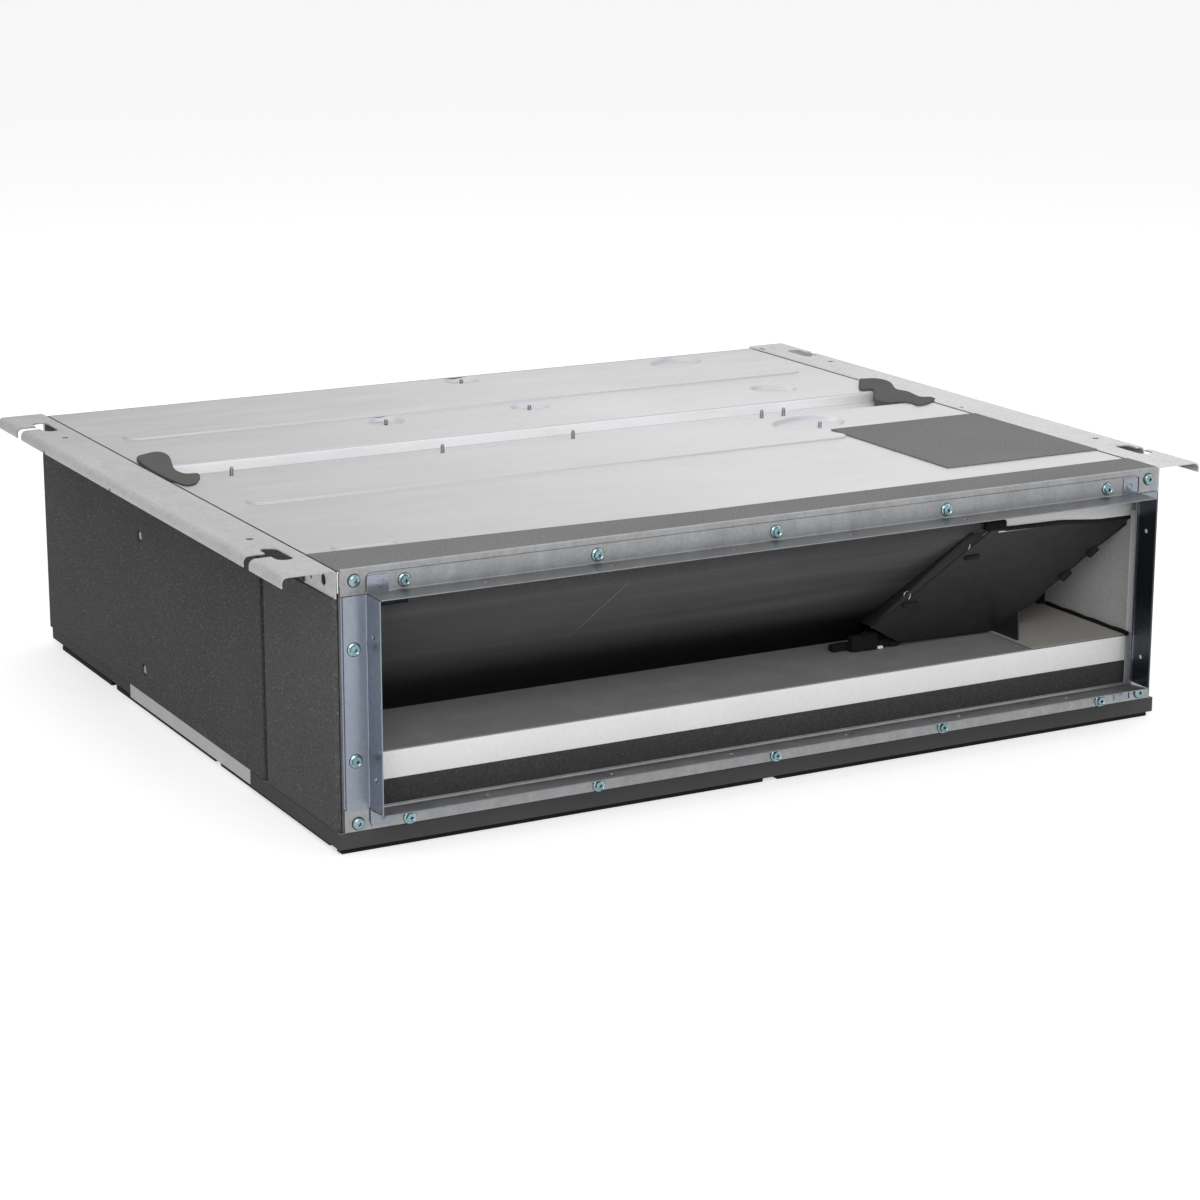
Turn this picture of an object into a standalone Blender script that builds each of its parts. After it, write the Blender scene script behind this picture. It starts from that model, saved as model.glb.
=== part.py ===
"""Concealed ducted indoor unit of a split air conditioner.

A galvanised casing hangs from two slotted rails. Air enters through a flanged opening at the back,
two double-inlet sirocco fans on one motor push it through a slanted fin coil above a foam drain
pan, and it leaves through a flanged opening at the front.

Metres, +Z up. The origin is the middle of the footprint at the underside of the base, +X is to the
right seen from the air outlet, and the outlet faces -Y.
"""
import math

import bmesh
import bpy
from mathutils import Matrix, Vector

# Overall body
BODY_WIDTH = 0.860
BODY_DEPTH = 0.755
BODY_HEIGHT = 0.250
# Places along the casing keep their share of its depth when the depth changes
DESIGN_DEPTH = 0.755
DEPTH_SHARE = BODY_DEPTH / DESIGN_DEPTH

# Stock and clearances
SHEET = 0.0010
RAIL_SHEET = 0.0016
GAP = 0.0003
OVERCUT = 2 * SHEET
ROUND_STEPS = 16
HOLE_STEPS = 12
EYE_STEPS = 24

# Base
BASE_FOAM = 0.0050
BASE_FOAM_INSET = 0.0040
BASE_FOAM_REAR_INSET = 0.0200
BASE_RIM_HEIGHT = 0.0142
BASE_RIM_LENGTH = 0.518
BASE_TAPE_LENGTH = 0.200
BASE_TAPE = 0.0010
FOAM_NOTCH_LENGTH = 0.013
FOAM_NOTCH_DEPTH = 0.006
FOAM_NOTCH_PITCH = 0.276

# Side insulation
SIDE_FOAM = 0.0047
SIDE_FOAM_FRONT_LENGTH = 0.1530
SIDE_FOAM_SEAM = 0.0080
SIDE_FOAM_OVERHANG = 0.0070
PLUG_RADIUS = 0.0060
PLUG_DEPTH = 0.0012
PLUG_FROM_FRONT = 0.473 * DEPTH_SHARE
PLUG_HEIGHTS = (0.045, BODY_HEIGHT - 0.070)
PLUG_HEAD_CROWN = 0.7
PLUG_HEAD_STEPS = 10

# Hanging rails
RAIL_WIDTH = 0.0503
RAIL_INNER_DROP = 0.0250
RAIL_LIP_DROP = 0.0100
RAIL_EDGE_RADIUS = 0.0060
RAIL_INNER_RADIUS = 0.0030
RAIL_FRONT_SETBACK = 0.0030
RAIL_OVERHANG = 0.0070
SLOT_FROM_BODY = {"left": 0.0216, "right": 0.0307}
SLOT_WIDTH = 0.0160
SLOT_LENGTH = 0.0480
SLOT_CHANNEL = 0.0140
SLOT_FROM_FRONT = 0.0800
SLOT_FROM_REAR = 0.0620
RAIL_HOLE_RADIUS = 0.0035
RAIL_HOLE_FROM_SLOT = 0.0610
KEYHOLE_RADIUS = 0.0050
KEYHOLE_FROM_END = 0.0240
KEYHOLE_DROP = 0.0130

# Top panels
RIB_RISE = 0.0015
RIB_WIDTH = 0.0300
RIB_SLOPE = 0.0030
RIB_END_MARGIN = 0.0300
FRONT_RIB_FROM_FRONT = 0.2780 * DEPTH_SHARE
RIB_PAD_GAP = 0.0005
REAR_RIB_FROM_FRONT = 0.6060 * DEPTH_SHARE
TROUGH_FROM_FRONT = 0.3920 * DEPTH_SHARE
TROUGH_LENGTH = 0.0700
TROUGH_DEPTH = 0.0110
PANEL_SIDE_FLANGE = 0.0180
PANEL_END_FLANGE = 0.0120
DISH_DEPTH = 0.0040
DISH_SLOPE = 0.0060
# Pressed dishes: x, distance from the front and radius
REAR_DISHES = (
    (-0.128, 0.565 * DEPTH_SHARE, 0.0230),
    (0.038, 0.563 * DEPTH_SHARE, 0.0210),
    (0.040, BODY_DEPTH - 0.023, 0.0200),
    (0.306, BODY_DEPTH - 0.037, 0.0310),
    (0.320, 0.529 * DEPTH_SHARE, 0.0240),
)
FRONT_DISHES = (
    (0.250, 0.350 * DEPTH_SHARE, 0.0380),
)

# Foam on the top
TOP_FOAM = 0.0012
STRIP_FROM_FRONT = 0.0055
STRIP_REAR_LEFT = 0.0670
STRIP_REAR_RIGHT = 0.0500
STRIP_TAPER_WIDTH = 0.3800
PAD_WIDTH = 0.1790
PAD_FROM_FRONT = 0.0980
PAD_LENGTH = 0.2070
SEAL_WIDTH = 0.0340
SEAL_RISE = 0.0115

# Outlet and inlet openings, and the angle flange round each
OPENING_SIDE = 0.0260
OPENING_TOP = 0.0230
OPENING_BOTTOM = 0.0400
FRAME_RETURN = 0.0050
FLANGE_REACH = 0.0280
FLANGE_FACE = {"top": 0.0180, "bottom": 0.0195, "side": 0.0225}
FLANGE_SCREW_PITCH = 0.1840
FLANGE_SCREW_COUNT = 5
FLANGE_SCREW_FROM_EDGE = {"top": 0.0090, "bottom": 0.0135, "side": 0.0135}
SIDE_SCREW_HEIGHTS = (0.083, BODY_HEIGHT - 0.069)
CORNER_SCREW_SIDE = 0.0120
CORNER_SCREW_TOP = 0.0100
CORNER_SCREW_BOTTOM = 0.0270

# Screws
SCREW_SHANK = 0.0020
SCREW_HOLE = 0.0024
SCREW_FLANGE = 0.0058
SCREW_HEAD = 0.0040
SCREW_HEAD_HEIGHT = 0.0032
SCREW_LENGTH = 0.0080
PAN_RADIUS = 0.0055
PAN_CROWN = 0.6
HEX_STEPS = 6
PAN_STEPS = 8
TIP_STEPS = 8
SEAM_SCREWS_X = (-0.350, -0.124, 0.024, 0.250, 0.277)
SEAM_SCREW_TIP = 0.0075
SEAM_SCREW_TAPER = 0.4

# Linings of the coil chamber
LINING_SETBACK = 0.0250
TOP_LINING = 0.0160
WALL_LINING = 0.0100
TOP_BLOCK_DEPTH = 0.0120
TOP_BLOCK_DROP = 0.0320

# Drain pan
PAN_HEIGHT = 0.0780
PAN_BEHIND_COIL = 0.04592
PAN_TROUGH_LENGTH = 0.1490
PAN_LEFT_WALL = 0.0040
PAN_RIGHT_WALL = 0.0190
PAN_REAR_WALL = 0.0155
PAN_FLOOR_HEIGHT = 0.0380
LINER = 0.0008
LINER_RIGHT_MARGIN = 0.0900
PAN_FOAM = 0.0050
PAN_FOAM_TOP = 0.0530
DRAIN_RADIUS = 0.0160
DRAIN_BORE = 0.0130
DRAIN_REACH = 0.0400
DRAIN_WINDOW = 0.0370
COLLAR_HALF = 0.0200
COLLAR_SEAT = 0.0040

# Coil
COIL_LENGTH = 0.2520
COIL_THICKNESS = 0.0360
COIL_SETBACK = 0.0200
COIL_LEFT_MARGIN = 0.0325
COIL_RIGHT_MARGIN = 0.1860
COIL_CLEARANCE = 0.0060
FIN_PITCH = 0.0150
FIN_GROOVE = 0.0035
FIN_SHARE = 0.45
END_PLATE = 0.0015
END_PLATE_BORDER = 0.0035
END_EAR = 0.0300
TUBE_RADIUS = 0.0045
TUBE_SIDES = 6
TUBE_DEPTH = 0.0100
TUBE_ROWS = 8
TUBE_STUB = 0.0020
TUBE_TAIL = 0.0180
BEND_STEPS = 4

# Pipes
GAS_PIPE_RADIUS = 0.0079
LIQUID_PIPE_RADIUS = 0.0048
PIPE_REACH = 0.0400
PIPE_FROM_FRONT = 0.2150
GAS_PIPE_HEIGHT = BODY_HEIGHT - 0.1000
LIQUID_PIPE_HEIGHT = BODY_HEIGHT - 0.1450
PIPE_STRAIGHT = 4
PIPE_BEND = 3
PIPE_HOLE_CLEARANCE = 0.0006
NUT_LENGTH = 0.0200
NUT_WALL = 0.0050

# Cover at the right end of the coil
COVER = 0.0020
COVER_TOP_LEFT = (0.0160, 0.0340)
COVER_TOP_RIGHT_SETBACK = 0.0260
COVER_BOTTOM_LEFT = (-0.0410, 0.1150)
COVER_BOTTOM_RIGHT = 0.0610
GUSSET = 0.0020
GUSSET_LENGTH = 0.0300
GUSSET_HEIGHT = 0.0300

# Fans
PARTITION_FROM_TROUGH = 0.0600
PARTITION_FLANGE = 0.0280
FAN_FROM_REAR = 0.1450 * DEPTH_SHARE
FAN_OFFSET = 0.2000
WHEEL_RADIUS = 0.0750
WHEEL_WIDTH = 0.1600
BLADE_COUNT = 32
BLADE_DEPTH = 0.0125
BLADE_THICKNESS = 0.0018
BLADE_SWEEP = 0.20
BLADE_BOW = 0.0022
BLADE_START = 0.3
RING_WIDTH = 0.0020
WHEEL_DISC = 0.0020
HUB_RADIUS = 0.0130
HUB_LENGTH = 0.0300
HOUSING_WALL = 0.0020
HOUSING_SIDE_CLEARANCE = 0.0080
HOUSING_HEADROOM = 0.0035
HOUSING_FLOOR_CLEARANCE = 0.0200
TONGUE_CLEARANCE = 0.0060
TONGUE_ANGLE = -25.0
INLET_EYE = 0.0640
INLET_LIP = 0.0040
OUTLET_RIM = 0.0060
SPIRAL_STEPS = 20
SHAFT_RADIUS = 0.0040
SHAFT_FIT = 0.0001
SHAFT_STEPS = 16
SHAFT_OVERHANG = 0.0120
MOTOR_RADIUS = 0.0560
MOTOR_LENGTH = 0.0950
MOTOR_EDGE = 0.0080
MOTOR_BOSS_RADIUS = 0.0150
MOTOR_BOSS_LENGTH = 0.0060
BRACKET_PLATE = 0.0020
BRACKET_SPACING = 0.0550
BRACKET_WIDTH = 0.1300

# Electrical box on the right side
BOX_FROM_FRONT = 0.4000 * DEPTH_SHARE
BOX_LENGTH = 0.2600
BOX_BOTTOM = 0.0400
BOX_HEADROOM = 0.0100
BOX_DEPTH = 0.0420
BOX_LID = 0.0010
BOX_LID_SKIRT = 0.0120
GLAND_RADIUS = 0.0100
GLAND_LENGTH = 0.0120
GLAND_MARGIN = 0.0500

# Places worked out from the sizes above
HALF_WIDTH = BODY_WIDTH / 2
FRONT = -BODY_DEPTH / 2
REAR = BODY_DEPTH / 2
PANEL_TOP = BODY_HEIGHT - RIB_RISE
PANEL_UNDERSIDE = PANEL_TOP - SHEET
BASE_FLOOR = BASE_FOAM + GAP
BASE_TOP = BASE_FLOOR + SHEET
SIDE_OUTER = HALF_WIDTH - SHEET - GAP
SIDE_INNER = SIDE_OUTER - SHEET
FOAM_OUTER = SIDE_OUTER + GAP + SIDE_FOAM
RIM_OUTER = FOAM_OUTER - BASE_TAPE
RIM_TOP = BASE_FLOOR + BASE_RIM_HEIGHT
TROUGH_FRONT = FRONT + TROUGH_FROM_FRONT
TROUGH_REAR = TROUGH_FRONT + TROUGH_LENGTH
TROUGH_TOP = PANEL_TOP - TROUGH_DEPTH
TROUGH_UNDERSIDE = TROUGH_TOP - SHEET
OPENING_HALF = HALF_WIDTH - OPENING_SIDE
OPENING_HIGH = BODY_HEIGHT - OPENING_TOP
LINING_FRONT = FRONT + LINING_SETBACK
LINING_UNDERSIDE = PANEL_UNDERSIDE - GAP - TOP_LINING
WALL_FACE = SIDE_INNER - GAP - WALL_LINING
PAN_BOTTOM = BASE_TOP + GAP
PAN_HALF = WALL_FACE - GAP
PAN_TROUGH_LEFT = PAN_LEFT_WALL - PAN_HALF
PAN_TROUGH_RIGHT = PAN_HALF - PAN_RIGHT_WALL
LINER_TOP = PAN_HEIGHT + GAP + LINER
COIL_LEFT = -HALF_WIDTH + COIL_LEFT_MARGIN
COIL_RIGHT = HALF_WIDTH - COIL_RIGHT_MARGIN
COIL_LOW = PAN_FLOOR_HEIGHT + GAP + LINER + COIL_CLEARANCE
COIL_HIGH = LINING_UNDERSIDE - GAP
COIL_DIAGONAL = math.hypot(COIL_LENGTH, COIL_THICKNESS)
COIL_SLOPE = math.asin((COIL_HIGH - COIL_LOW) / COIL_DIAGONAL) - math.atan2(COIL_THICKNESS, COIL_LENGTH)
COIL_FRONT = FRONT + COIL_SETBACK
COIL_REAR = COIL_FRONT + COIL_LENGTH * math.cos(COIL_SLOPE) + COIL_THICKNESS * math.sin(COIL_SLOPE)
PAN_TROUGH_REAR = COIL_REAR + PAN_BEHIND_COIL
PAN_TROUGH_FRONT = PAN_TROUGH_REAR - PAN_TROUGH_LENGTH
CHAMBER_REAR = PAN_TROUGH_REAR + PAN_REAR_WALL
PARTITION_Y = TROUGH_FRONT + PARTITION_FROM_TROUGH
PARTITION_TOP = TROUGH_UNDERSIDE - GAP
FAN_Y = REAR - FAN_FROM_REAR
SPIRAL_START = WHEEL_RADIUS + TONGUE_CLEARANCE + HOUSING_WALL
SPIRAL_HEIGHT = (PARTITION_TOP - SHEET - HOUSING_HEADROOM) - (BASE_TOP + HOUSING_FLOOR_CLEARANCE)
SPIRAL_GROWTH = (SPIRAL_HEIGHT - 2 * SPIRAL_START) / (360.0 - 2 * TONGUE_ANGLE)
SPIRAL_TOP = SPIRAL_START + SPIRAL_GROWTH * (270.0 - TONGUE_ANGLE)
FAN_Z = PARTITION_TOP - SHEET - HOUSING_HEADROOM - SPIRAL_TOP
BOX_INNER = FOAM_OUTER + GAP
BOX_TOP = BODY_HEIGHT - RAIL_INNER_DROP - BOX_HEADROOM

# Finishes: base colour, roughness, metallic
FINISHES = {
    "galvanised": ((0.62, 0.62, 0.64), 0.45, 0.75),
    "zinc_screw": ((0.60, 0.66, 0.66), 0.30, 0.90),
    "dark_foam": ((0.065, 0.065, 0.065), 0.95, 0.0),
    "grey_foam": ((0.22, 0.22, 0.22), 0.95, 0.0),
    "black_foam": ((0.015, 0.015, 0.015), 0.90, 0.0),
    "white_foam": ((0.66, 0.66, 0.67), 0.85, 0.0),
    "lining_foam": ((0.18, 0.18, 0.18), 0.85, 0.0),
    "coil_fins": ((0.30, 0.31, 0.32), 0.40, 0.80),
    "copper": ((0.72, 0.36, 0.20), 0.30, 1.0),
    "brass": ((0.72, 0.55, 0.25), 0.35, 1.0),
    "black_plastic": ((0.025, 0.025, 0.025), 0.50, 0.0),
    "grey_plastic": ((0.30, 0.30, 0.31), 0.50, 0.0),
    "motor_paint": ((0.10, 0.10, 0.11), 0.40, 0.30),
    "steel": ((0.55, 0.55, 0.56), 0.30, 1.0),
}

PART_COLLECTION = "ducted_indoor_unit"
CUTTER_COLLECTION = "cutters"


def clear_scene():
    """Remove every object that the file opened with."""
    for item in list(bpy.data.objects):
        bpy.data.objects.remove(item, do_unlink=True)


def collection(name):
    """The collection of that name, made on first use."""
    found = bpy.data.collections.get(name)
    if found is None:
        found = bpy.data.collections.new(name)
        bpy.context.scene.collection.children.link(found)
    return found


def finish(item, finish_name):
    """Give an object its own Principled material."""
    colour, roughness, metallic = FINISHES[finish_name]
    made = bpy.data.materials.new(item.name)
    made.use_nodes = True
    shader = made.node_tree.nodes["Principled BSDF"]
    shader.inputs["Base Color"].default_value = (*colour, 1.0)
    shader.inputs["Roughness"].default_value = roughness
    shader.inputs["Metallic"].default_value = metallic
    item.data.materials.append(made)


def part(name, shape, finish_name, smooth_angle=None, origin=(0.0, 0.0, 0.0)):
    """Turn a bmesh into a named part whose own origin lies at the given point."""
    bmesh.ops.translate(shape, verts=shape.verts, vec=-Vector(origin))
    mesh = bpy.data.meshes.new(name)
    shape.to_mesh(mesh)
    shape.free()
    item = bpy.data.objects.new(name, mesh)
    item.location = origin
    collection(PART_COLLECTION).objects.link(item)
    finish(item, finish_name)
    if smooth_angle:
        mesh.shade_smooth()
        mesh.set_sharp_from_angle(angle=math.radians(smooth_angle))
    return item


def boolean(item, shape, operation, label):
    """Cut a shape from an object, or join it to the object, with an exact Boolean."""
    mesh = bpy.data.meshes.new(f"{item.name}_{label}")
    shape.to_mesh(mesh)
    shape.free()
    tool = bpy.data.objects.new(f"{item.name}_{label}", mesh)
    tool.hide_render = True
    tool.display_type = "WIRE"
    collection(CUTTER_COLLECTION).objects.link(tool)
    modifier = item.modifiers.new(label, "BOOLEAN")
    modifier.operation = operation
    modifier.solver = "EXACT"
    modifier.object = tool


def cut(item, shape, label):
    boolean(item, shape, "DIFFERENCE", label)


def join(item, shape, label):
    boolean(item, shape, "UNION", label)


def thicken(item, thickness):
    """Give a folded sheet its thickness, half on each side of its middle surface."""
    modifier = item.modifiers.new("sheet", "SOLIDIFY")
    modifier.thickness = thickness
    modifier.offset = 0.0
    modifier.use_even_offset = True
    modifier.use_quality_normals = True


def place_point(axis, along, first, second):
    """A point at a distance along an axis and two co-ordinates across it, in X, Y, Z order."""
    if axis == "X":
        return Vector((along, first, second))
    if axis == "Y":
        return Vector((first, along, second))
    return Vector((first, second, along))


def axis_turn(axis):
    """The rotation that lays +Z along a signed axis such as "X" or "-Y"."""
    direction = {"X": (1, 0, 0), "Y": (0, 1, 0), "Z": (0, 0, 1)}[axis[-1]]
    sign = -1.0 if axis[0] == "-" else 1.0
    return (sign * Vector(direction)).to_track_quat("Z", "Y").to_matrix().to_4x4()


def add_box(shape, low, high):
    """Add a box between two corners."""
    low = Vector(low)
    high = Vector(high)
    made = bmesh.ops.create_cube(shape, size=1.0)
    size = high - low
    bmesh.ops.scale(shape, verts=made["verts"], vec=size)
    bmesh.ops.translate(shape, verts=made["verts"], vec=(low + high) / 2)


def add_rod(shape, start, axis, length, radius, tip_radius=None, steps=ROUND_STEPS):
    """Add a cylinder or a cone from its start along a signed axis."""
    made = bmesh.ops.create_cone(
        shape,
        cap_ends=True,
        segments=steps,
        radius1=radius,
        radius2=radius if tip_radius is None else tip_radius,
        depth=length,
    )
    bmesh.ops.translate(shape, verts=made["verts"], vec=(0.0, 0.0, length / 2))
    bmesh.ops.transform(shape, verts=made["verts"], matrix=Matrix.Translation(start) @ axis_turn(axis))


def add_prism(shape, outline, axis, low, high):
    """Add a flat outline, extruded along an axis from low to high."""
    ring = [shape.verts.new(place_point(axis, low, *point)) for point in outline]
    face = shape.faces.new(ring)
    grown = bmesh.ops.extrude_face_region(shape, geom=[face])
    moved = [item for item in grown["geom"] if isinstance(item, bmesh.types.BMVert)]
    bmesh.ops.translate(shape, verts=moved, vec=place_point(axis, high - low, 0.0, 0.0))
    linked = {each for vert in ring + moved for each in vert.link_faces}
    bmesh.ops.recalc_face_normals(shape, faces=list(linked))


def add_tapered(shape, outline, top_outline, low, high):
    """Add a solid between a lower and an upper outline of as many points, both level."""
    rings = []
    for points, height in ((outline, low), (top_outline, high)):
        verts = [shape.verts.new((x, y, height)) for x, y in points]
        edges = [shape.edges.new((verts[i - 1], verts[i])) for i in range(len(verts))]
        rings.append((verts, edges))
    bridged = bmesh.ops.bridge_loops(shape, edges=rings[0][1] + rings[1][1])
    caps = [shape.faces.new(verts) for verts, edges in rings]
    bmesh.ops.recalc_face_normals(shape, faces=bridged["faces"] + caps)


def add_turned(shape, profile, start, axis, steps=ROUND_STEPS):
    """Add a profile of (radius, height) points, spun round a signed axis."""
    verts = [shape.verts.new((radius, 0.0, height)) for radius, height in profile]
    edges = [shape.edges.new(pair) for pair in zip(verts, verts[1:])]
    bmesh.ops.spin(
        shape,
        geom=verts + edges,
        axis=(0.0, 0.0, 1.0),
        cent=(0.0, 0.0, 0.0),
        steps=steps,
        angle=math.tau,
        use_merge=True,
    )
    reached = set(verts)
    frontier = list(verts)
    while frontier:
        vert = frontier.pop()
        for edge in vert.link_edges:
            other = edge.other_vert(vert)
            if other not in reached:
                reached.add(other)
                frontier.append(other)
    bmesh.ops.remove_doubles(shape, verts=list(reached), dist=1e-6)
    kept = [vert for vert in reached if vert.is_valid]
    faces = list({face for vert in kept for face in vert.link_faces})
    bmesh.ops.recalc_face_normals(shape, faces=faces)
    bmesh.ops.transform(shape, verts=kept, matrix=Matrix.Translation(start) @ axis_turn(axis))


def folded_sheet(profile, axis, low, high):
    """An open profile drawn out along an axis, as the middle surface of a folded sheet."""
    shape = bmesh.new()
    verts = [shape.verts.new(place_point(axis, low, *point)) for point in profile]
    edges = [shape.edges.new(pair) for pair in zip(verts, verts[1:])]
    grown = bmesh.ops.extrude_edge_only(shape, edges=edges)
    moved = [item for item in grown["geom"] if isinstance(item, bmesh.types.BMVert)]
    bmesh.ops.translate(shape, verts=moved, vec=place_point(axis, high - low, 0.0, 0.0))
    return shape


def arc(centre, radius, start, end, steps):
    """Points on an arc, with its angles in degrees."""
    points = []
    for i in range(steps + 1):
        angle = math.radians(start + (end - start) * i / steps)
        points.append((centre[0] + radius * math.cos(angle), centre[1] + radius * math.sin(angle)))
    return points


def stadium(centre, length, width, along_x=True, steps=6):
    """A slot outline with round ends, its length measured over the ends."""
    reach = (length - width) / 2
    turn = 0.0 if along_x else 90.0
    step = (reach, 0.0) if along_x else (0.0, reach)
    first = arc((centre[0] + step[0], centre[1] + step[1]), width / 2, turn - 90, turn + 90, steps)
    second = arc((centre[0] - step[0], centre[1] - step[1]), width / 2, turn + 90, turn + 270, steps)
    return first + second


def mirrored(outline):
    """The outline on the other side of the middle plane."""
    return [(-first, second) for first, second in reversed(outline)]


def screw_heads(points, axis, profile, steps):
    """Screw heads at their seats; each starts half a sheet below its seat."""
    shape = bmesh.new()
    for point in points:
        add_turned(shape, profile, point, axis, steps)
    return shape


HEX_HEAD = [
    (0.0, -SHEET / 2),
    (SCREW_HEAD, -SHEET / 2),
    (SCREW_HEAD, 0.0),
    (SCREW_FLANGE, 0.0),
    (SCREW_HEAD, SCREW_HEAD_HEIGHT / 3),
    (SCREW_HEAD, SCREW_HEAD_HEIGHT),
    (0.0, SCREW_HEAD_HEIGHT),
]
PAN_HEAD = [
    (0.0, -SHEET / 2),
    (PAN_RADIUS, -SHEET / 2),
    (PAN_RADIUS, SCREW_HEAD_HEIGHT / 3),
    (PAN_RADIUS * PAN_CROWN, SCREW_HEAD_HEIGHT),
    (0.0, SCREW_HEAD_HEIGHT),
]


def flange_screw_points(end):
    """Seats of the screws through the flange angles, on the frame's plane."""
    plane, sign = end
    face = plane + sign * (GAP + SHEET)
    first = -(FLANGE_SCREW_COUNT - 1) / 2
    points = []
    inset = FLANGE_SCREW_FROM_EDGE
    for i in range(FLANGE_SCREW_COUNT):
        x = (first + i) * FLANGE_SCREW_PITCH
        points.append((x, face, OPENING_HIGH + inset["top"]))
        points.append((x, face, OPENING_BOTTOM - inset["bottom"]))
    for side in (-1, 1):
        for height in SIDE_SCREW_HEIGHTS:
            points.append((side * (OPENING_HALF + inset["side"]), face, height))
    return points


def corner_screw_points(end):
    """Seats of the screws that hold a frame to the casing."""
    plane, sign = end
    points = []
    for side in (-1, 1):
        for height in (BODY_HEIGHT - CORNER_SCREW_TOP, CORNER_SCREW_BOTTOM):
            points.append((side * (HALF_WIDTH - CORNER_SCREW_SIDE), plane, height))
    return points


ENDS = {"front": (FRONT, -1), "rear": (REAR, 1)}


def make_base():
    """Bottom trays, the tape round the front rim and the foam sheets that the unit rests on."""
    rim_x = RIM_OUTER - SHEET / 2
    rim_end = FRONT + BASE_RIM_LENGTH
    profile = [
        (-rim_x, RIM_TOP),
        (-rim_x, BASE_FLOOR + SHEET / 2),
        (rim_x, BASE_FLOOR + SHEET / 2),
        (rim_x, RIM_TOP),
    ]
    front_edge = FRONT + BASE_TAPE + GAP
    item = part("base_panel_front", folded_sheet(profile, "Y", front_edge, rim_end), "galvanised")
    thicken(item, SHEET)
    shape = bmesh.new()
    add_box(shape, (-rim_x, front_edge, BASE_FLOOR), (rim_x, front_edge + SHEET, RIM_TOP))
    join(item, shape, "front_rim")

    lap = rim_end + GAP
    shape = bmesh.new()
    add_box(shape, (-SIDE_OUTER, lap, BASE_FLOOR), (SIDE_OUTER, REAR - SHEET - GAP, BASE_TOP))
    part("base_panel_rear", shape, "galvanised")

    tape_x = (RIM_OUTER + GAP, FOAM_OUTER)
    outline = [
        (-tape_x[1], FRONT + BASE_TAPE_LENGTH),
        (-tape_x[1], FRONT),
        (tape_x[1], FRONT),
        (tape_x[1], FRONT + BASE_TAPE_LENGTH),
        (tape_x[0], FRONT + BASE_TAPE_LENGTH),
        (tape_x[0], FRONT + BASE_TAPE),
        (-tape_x[0], FRONT + BASE_TAPE),
        (-tape_x[0], FRONT + BASE_TAPE_LENGTH),
    ]
    shape = bmesh.new()
    add_prism(shape, outline, "Z", BASE_FLOOR, RIM_TOP)
    part("base_edge_tape", shape, "dark_foam")

    half = HALF_WIDTH
    sheet_front = FRONT + BASE_FOAM_INSET
    sheet_rear = REAR - BASE_FOAM_REAR_INSET
    middle = sheet_front + FOAM_NOTCH_LENGTH + FOAM_NOTCH_PITCH
    for name, low, high in (
        ("base_foam_front", sheet_front, middle),
        ("base_foam_rear", middle + GAP, sheet_rear),
    ):
        shape = bmesh.new()
        add_box(shape, (-half, low, 0.0), (half, high, BASE_FOAM))
        item = part(name, shape, "black_foam")
        shape = bmesh.new()
        if name == "base_foam_front":
            start = sheet_front + FOAM_NOTCH_LENGTH
        else:
            start = middle + FOAM_NOTCH_PITCH
        for side in (-1, 1):
            inner = side * (half - FOAM_NOTCH_DEPTH)
            outer = side * (half + FOAM_NOTCH_DEPTH)
            low_x, high_x = min(inner, outer), max(inner, outer)
            add_box(shape, (low_x, start, -BASE_FOAM), (high_x, start + FOAM_NOTCH_LENGTH, 2 * BASE_FOAM))
        cut(item, shape, "notches")


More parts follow.
